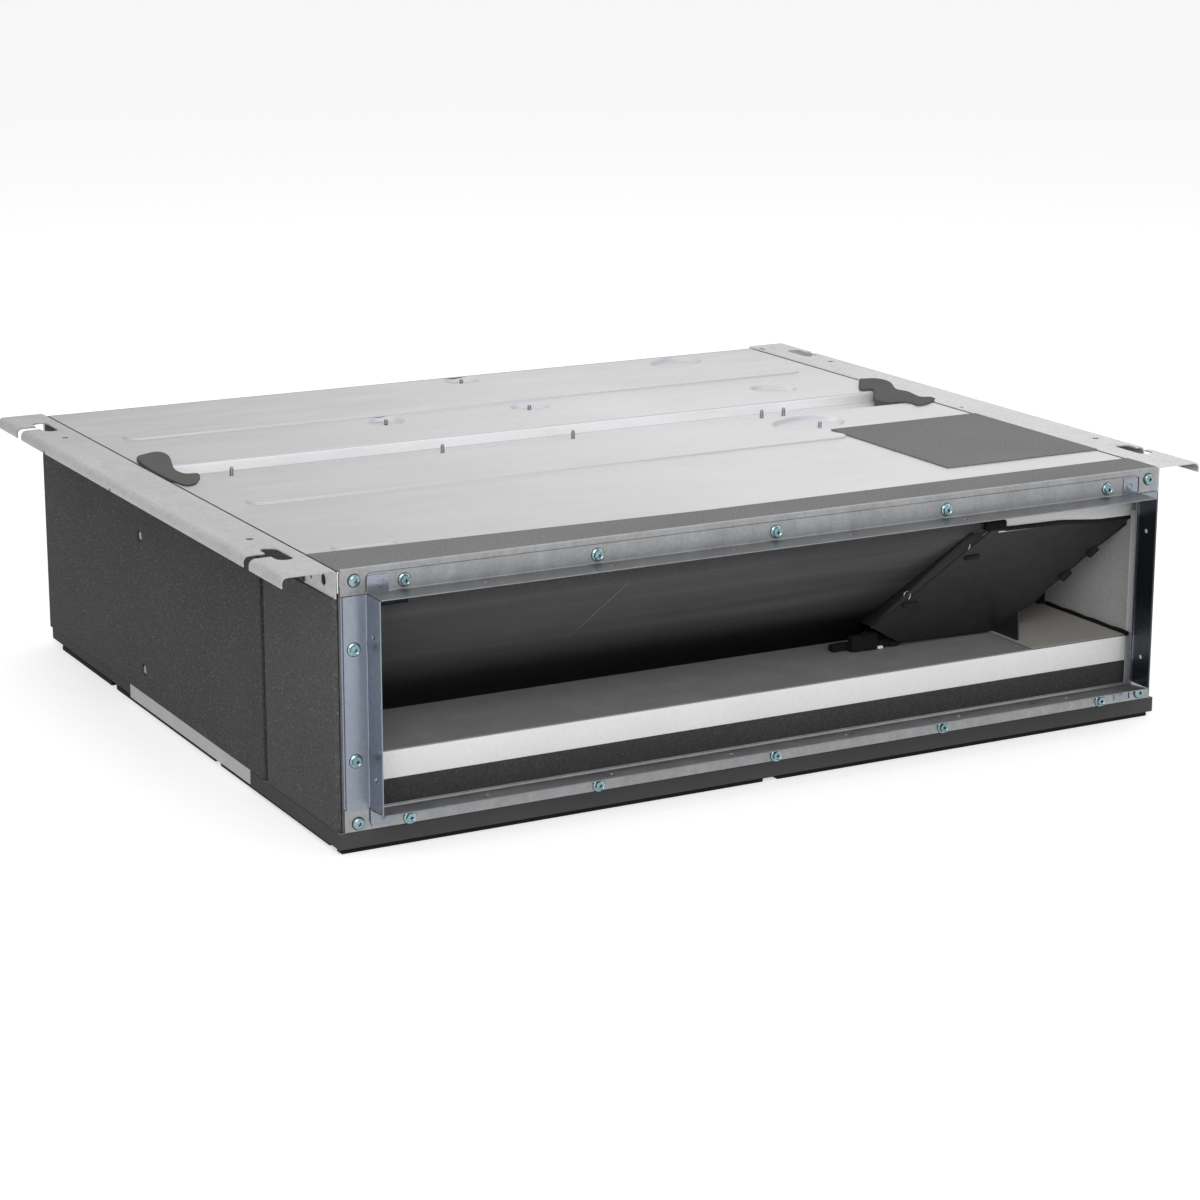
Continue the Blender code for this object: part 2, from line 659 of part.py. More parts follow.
def make_side(name, sign):
    """One side sheet, its outer insulation in two pieces, and the round plugs in it."""
    sheet_x = sorted((sign * SIDE_INNER, sign * SIDE_OUTER))
    top = PANEL_UNDERSIDE - GAP
    low_y = FRONT + 2 * (SHEET + GAP)
    high_y = REAR - 2 * (SHEET + GAP)
    shape = bmesh.new()
    add_box(shape, (sheet_x[0], low_y, PAN_BOTTOM), (sheet_x[1], high_y, top))
    item = part(f"side_panel_{name}", shape, "galvanised")
    notch = bmesh.new()
    add_box(
        notch,
        (sheet_x[0] - SHEET, TROUGH_FRONT - SHEET, TROUGH_UNDERSIDE - GAP),
        (sheet_x[1] + SHEET, TROUGH_REAR + SHEET + GAP, top + SHEET),
    )
    cut(item, notch, "trough_notch")
    seats = [(sign * SIDE_OUTER, FRONT + PLUG_FROM_FRONT, z) for z in PLUG_HEIGHTS]
    rise = GAP + SIDE_FOAM - PLUG_DEPTH
    head = [(0.0, -SHEET / 2), (PAN_RADIUS, -SHEET / 2), (PAN_RADIUS, rise * PLUG_HEAD_CROWN)]
    head += [(PAN_RADIUS * PLUG_HEAD_CROWN, rise), (0.0, rise)]
    join(item, screw_heads(seats, "X" if sign > 0 else "-X", head, PLUG_HEAD_STEPS), "screws")
    if sign > 0:
        holes = bmesh.new()
        add_pipe_holes(holes)
        cut(item, holes, "pipe_holes")

    seam = FRONT + FRAME_RETURN + SIDE_FOAM_FRONT_LENGTH
    pieces = (
        ("front", FRONT + FRAME_RETURN + GAP, seam),
        ("rear", seam + SIDE_FOAM_SEAM, REAR + SIDE_FOAM_OVERHANG),
    )
    inner = SIDE_OUTER + GAP
    tongue = RIM_OUTER - SHEET - GAP
    for label, start, end in pieces:
        outline = [
            (inner, PAN_BOTTOM),
            (tongue, PAN_BOTTOM),
            (tongue, RIM_TOP + GAP),
            (FOAM_OUTER, RIM_TOP + GAP),
            (FOAM_OUTER, BODY_HEIGHT - RAIL_INNER_DROP - GAP),
            (inner, BODY_HEIGHT - RAIL_INNER_DROP - GAP),
        ]
        shape = bmesh.new()
        add_prism(shape, outline if sign > 0 else mirrored(outline), "Y", start, end)
        item = part(f"side_foam_{name}_{label}", shape, "dark_foam")
        if label == "rear":
            holes = bmesh.new()
            for z in PLUG_HEIGHTS:
                start_point = (sign * (inner - SHEET), FRONT + PLUG_FROM_FRONT, z)
                direction = "X" if sign > 0 else "-X"
                add_rod(holes, start_point, direction, 2 * SIDE_FOAM, PLUG_RADIUS, steps=HOLE_STEPS)
            if sign > 0:
                add_pipe_holes(holes)
            cut(item, holes, "holes")


def add_pipe_holes(shape):
    """Round holes through the right side for the two refrigerant pipes and a square one for the drain."""
    low = SIDE_INNER - WALL_LINING - SHEET - GAP
    high = FOAM_OUTER + SHEET
    for radius, y, z in pipe_ports():
        add_rod(shape, (low, y, z), "X", high - low, radius + PIPE_HOLE_CLEARANCE)
    y, z = drain_port()
    half = DRAIN_WINDOW / 2
    add_box(shape, (low, y - half, z - half), (high, y + half, z + half))


def pipe_ports():
    """Radius, y and z of the two refrigerant pipes where they pass through the right side."""
    pipe_y = FRONT + PIPE_FROM_FRONT
    return (
        (GAS_PIPE_RADIUS, pipe_y, GAS_PIPE_HEIGHT),
        (LIQUID_PIPE_RADIUS, pipe_y, LIQUID_PIPE_HEIGHT),
    )


def make_rail(name, sign):
    """One hanging rail: a J section with T-shaped slots for the suspension rods."""
    half = RAIL_SHEET / 2
    inner = HALF_WIDTH + GAP + half
    outer = HALF_WIDTH + RAIL_WIDTH - half
    top = BODY_HEIGHT - half
    bend = RAIL_EDGE_RADIUS - half
    inner_bend = RAIL_INNER_RADIUS - half
    lip = BODY_HEIGHT - RAIL_LIP_DROP
    profile = [(inner, BODY_HEIGHT - RAIL_INNER_DROP)]
    profile += arc((inner + inner_bend, top - inner_bend), inner_bend, 180.0, 90.0, 3)
    profile += arc((outer - bend, top - bend), bend, 90.0, 0.0, 4)
    profile += [(outer, lip + half), (outer - half, lip)]
    if sign < 0:
        profile = mirrored(profile)
    low = FRONT + RAIL_FRONT_SETBACK
    high = REAR + RAIL_OVERHANG
    item = part(f"hanging_rail_{name}", folded_sheet(profile, "Y", low, high), "galvanised", smooth_angle=40)
    thicken(item, RAIL_SHEET)

    slot_x = sign * (HALF_WIDTH + SLOT_FROM_BODY[name])
    below = lip - RAIL_SHEET
    above = BODY_HEIGHT + RAIL_SHEET
    slots = bmesh.new()
    channels = bmesh.new()
    holes = bmesh.new()
    for y, inward in ((FRONT + SLOT_FROM_FRONT, 1), (REAR - SLOT_FROM_REAR, -1)):
        add_prism(slots, stadium((slot_x, y), SLOT_LENGTH, SLOT_WIDTH, along_x=False), "Z", below, above)
        edges = sorted((slot_x, sign * (HALF_WIDTH + RAIL_WIDTH + RAIL_SHEET)))
        half_channel = SLOT_CHANNEL / 2
        add_box(channels, (edges[0], y - half_channel, below), (edges[1], y + half_channel, above))
        hole_y = y + inward * RAIL_HOLE_FROM_SLOT
        add_rod(holes, (slot_x, hole_y, below), "Z", above - below, RAIL_HOLE_RADIUS, steps=HOLE_STEPS)
    for y in (low + KEYHOLE_FROM_END, high - KEYHOLE_FROM_END):
        start = (sign * (inner - RAIL_SHEET), y, BODY_HEIGHT - KEYHOLE_DROP)
        add_rod(holes, start, "X" if sign > 0 else "-X", 2 * RAIL_SHEET, KEYHOLE_RADIUS, steps=HOLE_STEPS)
    cut(item, slots, "slots")
    cut(item, channels, "channels")
    cut(item, holes, "holes")


def add_dishes(dishes, bosses, recesses):
    """Add the outer and inner forms of the pressed dishes."""
    for x, distance, radius in dishes:
        y = FRONT + distance
        floor = PANEL_TOP - DISH_DEPTH
        inner = radius - DISH_SLOPE
        add_rod(bosses, (x, y, floor - SHEET), "Z", DISH_DEPTH + SHEET / 2, inner + SHEET, radius + SHEET)
        mouth = radius + DISH_SLOPE * SHEET / DISH_DEPTH
        add_rod(recesses, (x, y, floor), "Z", DISH_DEPTH + SHEET, inner, mouth)


def add_rib(left, right, y, bosses, recesses):
    """Add the outer and inner forms of a raised bead with round ends."""
    centre = ((left + right) / 2, y)
    length = right - left
    slope = 2 * RIB_SLOPE
    lower = stadium(centre, length, RIB_WIDTH)
    upper = stadium(centre, length - slope, RIB_WIDTH - slope)
    add_tapered(bosses, lower, upper, PANEL_TOP - SHEET / 2, BODY_HEIGHT)
    inset = 2 * SHEET
    lower = stadium(centre, length - inset, RIB_WIDTH - inset)
    upper = stadium(centre, length - inset - slope, RIB_WIDTH - inset - slope)
    add_tapered(recesses, lower, upper, PANEL_UNDERSIDE - SHEET, BODY_HEIGHT - SHEET)


def side_flanges(low, high):
    """Two strips that turn down at the sides of a top panel."""
    shape = bmesh.new()
    for sign in (-1, 1):
        edges = sorted((sign * (HALF_WIDTH - SHEET), sign * HALF_WIDTH))
        add_box(shape, (edges[0], low, PANEL_TOP - PANEL_SIDE_FLANGE), (edges[1], high, PANEL_TOP))
    return shape


def make_top_panels():
    """Front and rear top panels, which meet in a sunk trough."""
    middle = PANEL_TOP - SHEET / 2
    half = HALF_WIDTH - SHEET / 2
    front_edge = FRONT + SHEET + GAP + SHEET / 2
    floor = TROUGH_TOP - SHEET / 2
    profile = [
        (front_edge, middle - PANEL_END_FLANGE),
        (front_edge, middle),
        (TROUGH_FRONT, middle),
        (TROUGH_FRONT, floor),
        (TROUGH_REAR - GAP, floor),
    ]
    item = part("top_panel_front", folded_sheet(profile, "X", -half, half), "galvanised")
    thicken(item, SHEET)
    join(item, side_flanges(front_edge - SHEET / 2, TROUGH_REAR - GAP), "side_flanges")
    ribs = bmesh.new()
    hollows = bmesh.new()
    rib_left = -HALF_WIDTH + RIB_END_MARGIN
    add_rib(rib_left, HALF_WIDTH - PAD_WIDTH - RIB_PAD_GAP, FRONT + FRONT_RIB_FROM_FRONT, ribs, hollows)
    join(item, ribs, "rib")
    cut(item, hollows, "rib_hollow")
    bosses = bmesh.new()
    recesses = bmesh.new()
    add_dishes(FRONT_DISHES, bosses, recesses)
    join(item, bosses, "dishes")
    cut(item, recesses, "dish_hollows")
    cut(item, seam_screw_holes(), "screw_holes")

    rear_edge = REAR - SHEET - GAP - SHEET / 2
    profile = [
        (TROUGH_REAR + SHEET / 2, TROUGH_UNDERSIDE),
        (TROUGH_REAR + SHEET / 2, middle),
        (rear_edge, middle),
        (rear_edge, middle - PANEL_END_FLANGE),
    ]
    item = part("top_panel_rear", folded_sheet(profile, "X", -half, half), "galvanised")
    thicken(item, SHEET)
    join(item, side_flanges(TROUGH_REAR, rear_edge + SHEET / 2), "side_flanges")
    ribs = bmesh.new()
    hollows = bmesh.new()
    add_rib(rib_left, HALF_WIDTH - RIB_END_MARGIN, FRONT + REAR_RIB_FROM_FRONT, ribs, hollows)
    join(item, ribs, "rib")
    cut(item, hollows, "rib_hollow")
    bosses = bmesh.new()
    recesses = bmesh.new()
    add_dishes(REAR_DISHES, bosses, recesses)
    join(item, bosses, "dishes")
    cut(item, recesses, "dish_hollows")


def seam_screw_y():
    """The line of the seam screws, over the partition's top flange."""
    return PARTITION_Y - PARTITION_FLANGE / 2


def seam_screw_holes():
    """Holes in the trough's floor for the seam screws."""
    shape = bmesh.new()
    for x in SEAM_SCREWS_X:
        start = (x, seam_screw_y(), TROUGH_UNDERSIDE - OVERCUT)
        add_rod(shape, start, "Z", SHEET + 2 * OVERCUT, SCREW_HOLE, steps=TIP_STEPS)
    return shape


def seam_screw_tips():
    """Ends of the screws driven up from the partition's flange, which stand in the trough."""
    shape = bmesh.new()
    start = PARTITION_TOP - SHEET / 2
    for x in SEAM_SCREWS_X:
        length = TROUGH_TOP + SEAM_SCREW_TIP - start
        tip = SCREW_SHANK * SEAM_SCREW_TAPER
        add_rod(shape, (x, seam_screw_y(), start), "Z", length, SCREW_SHANK, tip, steps=TIP_STEPS)
    return shape


def make_top_foam():
    """The foam strip and pad on the front panel, and the two seals at the ends of the trough."""
    low = PANEL_TOP + GAP
    high = low + TOP_FOAM
    front = FRONT + STRIP_FROM_FRONT
    taper = -HALF_WIDTH + STRIP_TAPER_WIDTH
    outline = [
        (-HALF_WIDTH, front),
        (HALF_WIDTH, front),
        (HALF_WIDTH, FRONT + STRIP_REAR_RIGHT),
        (taper, FRONT + STRIP_REAR_RIGHT),
        (-HALF_WIDTH, FRONT + STRIP_REAR_LEFT),
    ]
    shape = bmesh.new()
    add_prism(shape, outline, "Z", low, high)
    part("top_foam_strip", shape, "grey_foam")

    shape = bmesh.new()
    pad_front = FRONT + PAD_FROM_FRONT
    add_box(shape, (HALF_WIDTH - PAD_WIDTH, pad_front, low), (HALF_WIDTH, pad_front + PAD_LENGTH, high))
    part("top_foam_pad", shape, "grey_foam")

    bottom = TROUGH_TOP + GAP
    crown = bottom + SEAL_RISE
    outline = [
        (TROUGH_FRONT + SHEET, bottom),
        (TROUGH_REAR - GAP, bottom),
        (TROUGH_REAR - GAP, crown),
        (TROUGH_REAR - TROUGH_LENGTH / 2, crown),
        (TROUGH_FRONT + SHEET, bottom + SEAL_RISE / 2),
    ]
    for name, sign in (("left", -1), ("right", 1)):
        edges = sorted((sign * (HALF_WIDTH - SHEET - GAP), sign * (HALF_WIDTH - SEAL_WIDTH)))
        shape = bmesh.new()
        add_prism(shape, outline, "X", *edges)
        part(f"trough_seal_{name}", shape, "grey_foam")


def make_frame(name):
    """The end frame with its duct opening; the front one turns back over the top panel's edge."""
    plane, sign = ENDS[name]
    back = plane - sign * SHEET
    lows = sorted((plane, back))
    bottom = RIM_TOP + GAP
    half, top = (HALF_WIDTH, BODY_HEIGHT) if sign < 0 else (SIDE_OUTER, PANEL_TOP)
    shape = bmesh.new()
    add_box(shape, (-half, lows[0], bottom), (half, lows[1], top))
    item = part(f"{name}_frame", shape, "galvanised")
    if sign < 0:
        returns = bmesh.new()
        add_box(returns, (-half, plane + SHEET / 2, top - SHEET), (half, plane + FRAME_RETURN, top))
        join(item, returns, "top_return")
    opening = bmesh.new()
    add_box(
        opening,
        (-OPENING_HALF, plane - SCREW_LENGTH, OPENING_BOTTOM),
        (OPENING_HALF, plane + SCREW_LENGTH, OPENING_HIGH),
    )
    cut(item, opening, "opening")
    axis = "-Y" if sign < 0 else "Y"
    join(item, screw_heads(corner_screw_points(ENDS[name]), axis, PAN_HEAD, PAN_STEPS), "corner_screws")


def make_flange(name, end_name):
    """Four angles that stand round the opening and take the duct."""
    plane, sign = ENDS[end_name]
    face = plane + sign * (GAP + SHEET / 2)
    reach = plane + sign * FLANGE_REACH
    half = SHEET / 2
    points = flange_screw_points(ENDS[end_name])
    axis = "-Y" if sign < 0 else "Y"
    for label, edge, away in (("top", OPENING_HIGH + half, 1), ("bottom", OPENING_BOTTOM - half, -1)):
        profile = [(face, edge + away * (FLANGE_FACE[label] - half)), (face, edge), (reach, edge)]
        shape = folded_sheet(profile, "X", -OPENING_HALF, OPENING_HALF)
        item = part(f"{name}_flange_{label}", shape, "galvanised")
        thicken(item, SHEET)
        seats = [point for point in points if (point[2] - edge) * away > 0 and abs(point[0]) < OPENING_HALF]
        join(item, screw_heads(seats, axis, HEX_HEAD, HEX_STEPS), "screws")
    low = OPENING_BOTTOM
    high = OPENING_HIGH
    for label, away in (("left", -1), ("right", 1)):
        edge = away * (OPENING_HALF + GAP + half)
        profile = [(edge + away * (FLANGE_FACE["side"] - half), face), (edge, face), (edge, reach)]
        item = part(f"{name}_flange_{label}", folded_sheet(profile, "Z", low, high), "galvanised")
        thicken(item, SHEET)
        seats = [point for point in points if point[0] * away > OPENING_HALF]
        join(item, screw_heads(seats, axis, HEX_HEAD, HEX_STEPS), "screws")


def make_linings():
    """Foam linings of the coil chamber."""
    top = PANEL_UNDERSIDE - GAP
    wall_top = LINING_UNDERSIDE - GAP
    rear = CHAMBER_REAR
    half = SIDE_INNER - GAP
    shape = bmesh.new()
    add_box(shape, (-half, LINING_FRONT, LINING_UNDERSIDE), (half, rear, top))
    item = part("top_lining", shape, "white_foam")
    block = bmesh.new()
    block_left = COIL_RIGHT + COVER_TOP_LEFT[0]
    low = LINING_UNDERSIDE - TOP_BLOCK_DROP
    add_box(
        block,
        (block_left, LINING_FRONT, low),
        (WALL_FACE - GAP, LINING_FRONT + TOP_BLOCK_DEPTH, LINING_UNDERSIDE + SHEET),
    )
    join(item, block, "block")
    for name, sign in (("left", -1), ("right", 1)):
        edges = sorted((sign * WALL_FACE, sign * half))
        shape = bmesh.new()
        add_box(shape, (edges[0], LINING_FRONT, PAN_BOTTOM), (edges[1], rear, wall_top))
        item = part(f"wall_lining_{name}", shape, "lining_foam")
        if sign > 0:
            holes = bmesh.new()
            add_pipe_holes(holes)
            cut(item, holes, "pipe_holes")


def drain_port():
    """y and z of the drain outlet, low in the pan's trough."""
    return (PAN_TROUGH_FRONT + PAN_TROUGH_REAR) / 2, PAN_FLOOR_HEIGHT + DRAIN_RADIUS


def make_drain_pan():
    """Foam pan with its water trough, liner and front foam, and the drain outlet in its collar."""
    shape = bmesh.new()
    add_box(shape, (-PAN_HALF, LINING_FRONT, PAN_BOTTOM), (PAN_HALF, CHAMBER_REAR, PAN_HEIGHT))
    item = part("drain_pan", shape, "white_foam")
    trough = bmesh.new()
    add_box(
        trough,
        (PAN_TROUGH_LEFT, PAN_TROUGH_FRONT, PAN_FLOOR_HEIGHT),
        (PAN_TROUGH_RIGHT, PAN_TROUGH_REAR, PAN_HEIGHT + SHEET),
    )
    cut(item, trough, "trough")
    recess = bmesh.new()
    add_box(
        recess,
        (-PAN_HALF - SHEET, LINING_FRONT - SHEET, PAN_BOTTOM - SHEET),
        (PAN_HALF + SHEET, LINING_FRONT + PAN_FOAM + GAP, PAN_FOAM_TOP + GAP),
    )
    cut(item, recess, "front_recess")
    y, z = drain_port()
    seat = PAN_FLOOR_HEIGHT - COLLAR_SEAT
    notch = bmesh.new()
    add_box(
        notch,
        (PAN_TROUGH_RIGHT - SHEET, y - COLLAR_HALF - GAP, seat - GAP),
        (PAN_HALF + SHEET, y + COLLAR_HALF + GAP, PAN_HEIGHT + SHEET),
    )
    cut(item, notch, "drain_notch")

    shape = bmesh.new()
    add_box(shape, (PAN_TROUGH_RIGHT, y - COLLAR_HALF, seat), (PAN_HALF, y + COLLAR_HALF, PAN_HEIGHT))
    item = part("drain_collar", shape, "grey_plastic")
    bore = bmesh.new()
    add_rod(bore, (PAN_TROUGH_RIGHT - SHEET, y, z), "X", PAN_RIGHT_WALL + OVERCUT, DRAIN_RADIUS + GAP)
    cut(item, bore, "bore")

    shape = bmesh.new()
    add_box(shape, (-PAN_HALF, LINING_FRONT, PAN_BOTTOM), (PAN_HALF, LINING_FRONT + PAN_FOAM, PAN_FOAM_TOP))
    part("drain_pan_front_foam", shape, "dark_foam")

    level = PAN_HEIGHT + GAP + LINER / 2
    inset = GAP + LINER / 2
    floor = PAN_FLOOR_HEIGHT + GAP + LINER / 2
    profile = [
        (LINING_FRONT + LINER, level),
        (PAN_TROUGH_FRONT + inset, level),
        (PAN_TROUGH_FRONT + inset, floor),
        (PAN_TROUGH_REAR - inset, floor),
        (PAN_TROUGH_REAR - inset, level),
        (CHAMBER_REAR, level),
    ]
    right = PAN_TROUGH_RIGHT - LINER_RIGHT_MARGIN
    item = part("drain_pan_liner", folded_sheet(profile, "X", PAN_TROUGH_LEFT + GAP, right), "lining_foam")
    thicken(item, LINER)

    inner_end = PAN_TROUGH_RIGHT
    length = SIDE_OUTER + SIDE_FOAM + DRAIN_REACH - inner_end
    shape = bmesh.new()
    add_turned(
        shape,
        [
            (DRAIN_BORE, 0.0),
            (DRAIN_RADIUS, 0.0),
            (DRAIN_RADIUS, length),
            (DRAIN_BORE, length),
            (DRAIN_BORE, 0.0),
        ],
        (inner_end, y, z),
        "X",
    )
    part("drain_outlet", shape, "grey_plastic", smooth_angle=35)


def coil_point(down, back):
    """y and z of a point of the coil: a distance down its slope and a distance behind its face."""
    top = COIL_HIGH - COIL_THICKNESS * math.cos(COIL_SLOPE)
    y = COIL_FRONT + down * math.cos(COIL_SLOPE) + back * math.sin(COIL_SLOPE)
    z = top - down * math.sin(COIL_SLOPE) + back * math.cos(COIL_SLOPE)
    return y, z


def make_coil():
    """Slanted fin pack, end plates and the return bends at each end."""
    left = COIL_LEFT + END_PLATE + GAP
    right = COIL_RIGHT - END_PLATE - GAP
    count = int((right - left) // FIN_PITCH)
    pitch = (right - left) / count
    fin = pitch * FIN_SHARE
    front = []
    rear = []
    for i in range(count):
        start = left + i * pitch
        front += [(start, 0.0), (start + fin, 0.0)]
        rear += [(start, COIL_THICKNESS), (start + fin, COIL_THICKNESS)]
        if i < count - 1:
            front += [(start + fin, FIN_GROOVE), (start + pitch, FIN_GROOVE)]
            rear += [(start + fin, COIL_THICKNESS - FIN_GROOVE), (start + pitch, COIL_THICKNESS - FIN_GROOVE)]
    last = left + count * pitch
    front[-1] = (last, 0.0)
    rear[-1] = (last, COIL_THICKNESS)
    shape = bmesh.new()
    margin = END_PLATE_BORDER
    add_prism(shape, front + rear[::-1], "Z", -COIL_LENGTH + margin, -margin)
    lay = Matrix.Rotation(math.pi / 2 - COIL_SLOPE, 4, "X")
    place = Matrix.Translation((0.0, *coil_point(0.0, 0.0)))
    bmesh.ops.transform(shape, verts=shape.verts, matrix=place @ lay)
    item = part("coil_fins", shape, "coil_fins")
    cut(item, tube_holes(), "tube_holes")

    outline = [
        coil_point(0.0, 0.0),
        coil_point(COIL_LENGTH, 0.0),
        coil_point(COIL_LENGTH, COIL_THICKNESS),
        coil_point(0.0, COIL_THICKNESS),
    ]
    for name, low in (("left", COIL_LEFT), ("right", COIL_RIGHT - END_PLATE)):
        shape = bmesh.new()
        add_prism(shape, outline, "X", low, low + END_PLATE)
        item = part(f"coil_end_plate_{name}", shape, "galvanised")
        foot = bmesh.new()
        y, z = coil_point(COIL_LENGTH, COIL_THICKNESS / 2)
        floor = PAN_FLOOR_HEIGHT + 2 * GAP + LINER
        add_box(foot, (low, y - END_EAR / 2, floor), (low + END_PLATE, y + END_EAR / 4, z))
        join(item, foot, "foot")
        cut(item, tube_holes(), "tube_holes")
    make_coil_tube()


def tube_runs():
    """Centres of the tube's straight runs, in y and z, in the order that the tube takes."""
    runs = []
    for i in range(TUBE_ROWS):
        down = (i + 0.5) * COIL_LENGTH / TUBE_ROWS
        runs.append(coil_point(down, COIL_THICKNESS - TUBE_DEPTH))
        runs.append(coil_point(down, TUBE_DEPTH))
    return runs


def tube_holes():
    """Rods where the tube runs through the fins and the end plates."""
    shape = bmesh.new()
    length = COIL_RIGHT - COIL_LEFT + 4 * END_PLATE
    radius = (TUBE_RADIUS + GAP) / math.cos(math.pi / TUBE_SIDES)
    for y, z in tube_runs():
        add_rod(shape, (COIL_LEFT - 2 * END_PLATE, y, z), "X", length, radius, steps=TUBE_SIDES)
    return shape


def make_coil_tube():
    """One serpentine copper tube, through every hole of the fin pack and round its return bends."""
    runs = tube_runs()
    ends = (COIL_RIGHT + TUBE_STUB, COIL_LEFT - TUBE_STUB)
    points = [(COIL_RIGHT + TUBE_TAIL, *runs[0])]
    for i in range(len(runs) - 1):
        x = ends[(i + 1) % 2]
        sign = 1 if x == ends[0] else -1
        here = Vector((x, *runs[i]))
        there = Vector((x, *runs[i + 1]))
        centre = (here + there) / 2
        radius = (there - here).length / 2
        for step in range(BEND_STEPS + 1):
            angle = math.pi * step / BEND_STEPS
            point = centre + (here - centre) * math.cos(angle)
            points.append((point.x + sign * radius * math.sin(angle), point.y, point.z))
    points.append((COIL_RIGHT + TUBE_TAIL, *runs[-1]))
    tube_curve("coil_tube", points, TUBE_RADIUS, 1)


def tube_curve(name, points, radius, resolution):
    """A tube of copper along a line of points."""
    curve = bpy.data.curves.new(name, "CURVE")
    curve.dimensions = "3D"
    curve.bevel_depth = radius
    curve.bevel_resolution = resolution
    curve.use_fill_caps = True
    spline = curve.splines.new("POLY")
    spline.points.add(len(points) - 1)
    for target, point in zip(spline.points, points):
        target.co = (*point, 1.0)
    item = bpy.data.objects.new(name, curve)
    collection(PART_COLLECTION).objects.link(item)
    finish(item, "copper")


def make_pipe(name, radius, y_wall, z_wall, run):
    """A refrigerant pipe from an end of the coil's tube through the wall."""
    y_coil, z_coil = tube_runs()[run]
    first = COIL_RIGHT + TUBE_TAIL + GAP
    corners = [
        Vector((first, y_coil, z_coil)),
        Vector((first + PIPE_STRAIGHT * radius, y_coil, z_coil)),
        Vector((WALL_FACE - PIPE_STRAIGHT * radius, y_wall, z_wall)),
        Vector((FOAM_OUTER + PIPE_REACH, y_wall, z_wall)),
    ]
    points = [corners[0]]
    for before, corner, after in zip(corners, corners[1:], corners[2:]):
        start = corner + (before - corner).normalized() * PIPE_BEND * radius
        end = corner + (after - corner).normalized() * PIPE_BEND * radius
        for step in range(BEND_STEPS + 1):
            share = step / BEND_STEPS
            points.append(start.lerp(corner, share).lerp(corner.lerp(end, share), share))
    points.append(corners[-1])
    tube_curve(name, points, radius, 2)


def make_flare_nuts():
    """Nuts on the pipe ends outside the casing."""
    outer = FOAM_OUTER + PIPE_REACH
    for name, (radius, y, z) in zip(("gas", "liquid"), pipe_ports()):
        shape = bmesh.new()
        bore = radius + GAP
        across = radius + NUT_WALL
        add_turned(
            shape,
            [(bore, 0.0), (across, 0.0), (across, NUT_LENGTH), (bore, NUT_LENGTH), (bore, 0.0)],
            (outer - NUT_LENGTH, y, z),
            "X",
            steps=HOLE_STEPS,
        )
        part(f"flare_nut_{name}", shape, "brass")


def cover_corners():
    """Corners of the cover's front face, in order round its edge."""
    top = LINING_UNDERSIDE - TOP_BLOCK_DROP - GAP - COVER
    low = LINER_TOP + GAP
    right = WALL_FACE - GAP
    top_left = Vector((COIL_RIGHT + COVER_TOP_LEFT[0], FRONT + COVER_TOP_LEFT[1], top))
    top_right = Vector((right, FRONT + COVER_TOP_RIGHT_SETBACK, top))
    low_left = Vector((COIL_RIGHT + COVER_BOTTOM_LEFT[0], FRONT + COVER_BOTTOM_LEFT[1], low))
    normal = (top_right - top_left).cross(low_left - top_left).normalized()
    low_right_x = COIL_RIGHT + COVER_BOTTOM_RIGHT
    level_step = Vector((normal.y, -normal.x, 0.0)).normalized()
    if level_step.x < 0:
        level_step.negate()
    low_right = low_left + level_step * ((low_right_x - low_left.x) / level_step.x)
    return [top_left, top_right, low_right, low_left], normal


def make_coil_cover():
    """The sheet that closes the gap between the coil's right end and the wall, and its gusset."""
    corners, normal = cover_corners()
    shape = bmesh.new()
    face = shape.faces.new([shape.verts.new(corner) for corner in corners])
    grown = bmesh.ops.extrude_face_region(shape, geom=[face])
    moved = [item for item in grown["geom"] if isinstance(item, bmesh.types.BMVert)]
    back = normal if normal.y > 0 else -normal
    bmesh.ops.translate(shape, verts=moved, vec=back * COVER)
    bmesh.ops.recalc_face_normals(shape, faces=shape.faces)
    part("coil_end_cover", shape, "black_plastic")

    foot = corners[2]
    low = LINER_TOP + GAP
    near = foot.y - GUSSET_LENGTH - COVER
    outline = [
        (near, low),
        (foot.y - 2 * COVER, low),
        (near, low + GUSSET_HEIGHT),
    ]
    shape = bmesh.new()
    add_prism(shape, outline, "X", foot.x - 2 * GUSSET, foot.x - GUSSET)
    part("cover_gusset", shape, "black_plastic")


def housing_outline(inset):
    """Side outline of a fan housing, drawn in by an inset: a spiral that opens into a neck."""
    points = []
    for i in range(SPIRAL_STEPS + 1):
        degrees = TONGUE_ANGLE + (270.0 - TONGUE_ANGLE) * i / SPIRAL_STEPS
        radius = SPIRAL_START + SPIRAL_GROWTH * (degrees - TONGUE_ANGLE) - inset
        angle = math.radians(degrees)
        points.append((FAN_Y - radius * math.cos(angle), FAN_Z - radius * math.sin(angle)))
    neck = PARTITION_Y + SHEET / 2 + GAP
    top = points[-1][1]
    low = points[0][1] + inset
    end = neck - (HOUSING_WALL if inset > 0.0 else 0.0)
    points.append((end, top))
    points.append((end, low))
    if inset > 0.0:
        points.append((points[0][0], low))
    return points


def neck_heights():
    """Lowest and highest point of the inside of a housing's neck."""
    outline = housing_outline(HOUSING_WALL)
    return outline[-1][1], outline[SPIRAL_STEPS][1]


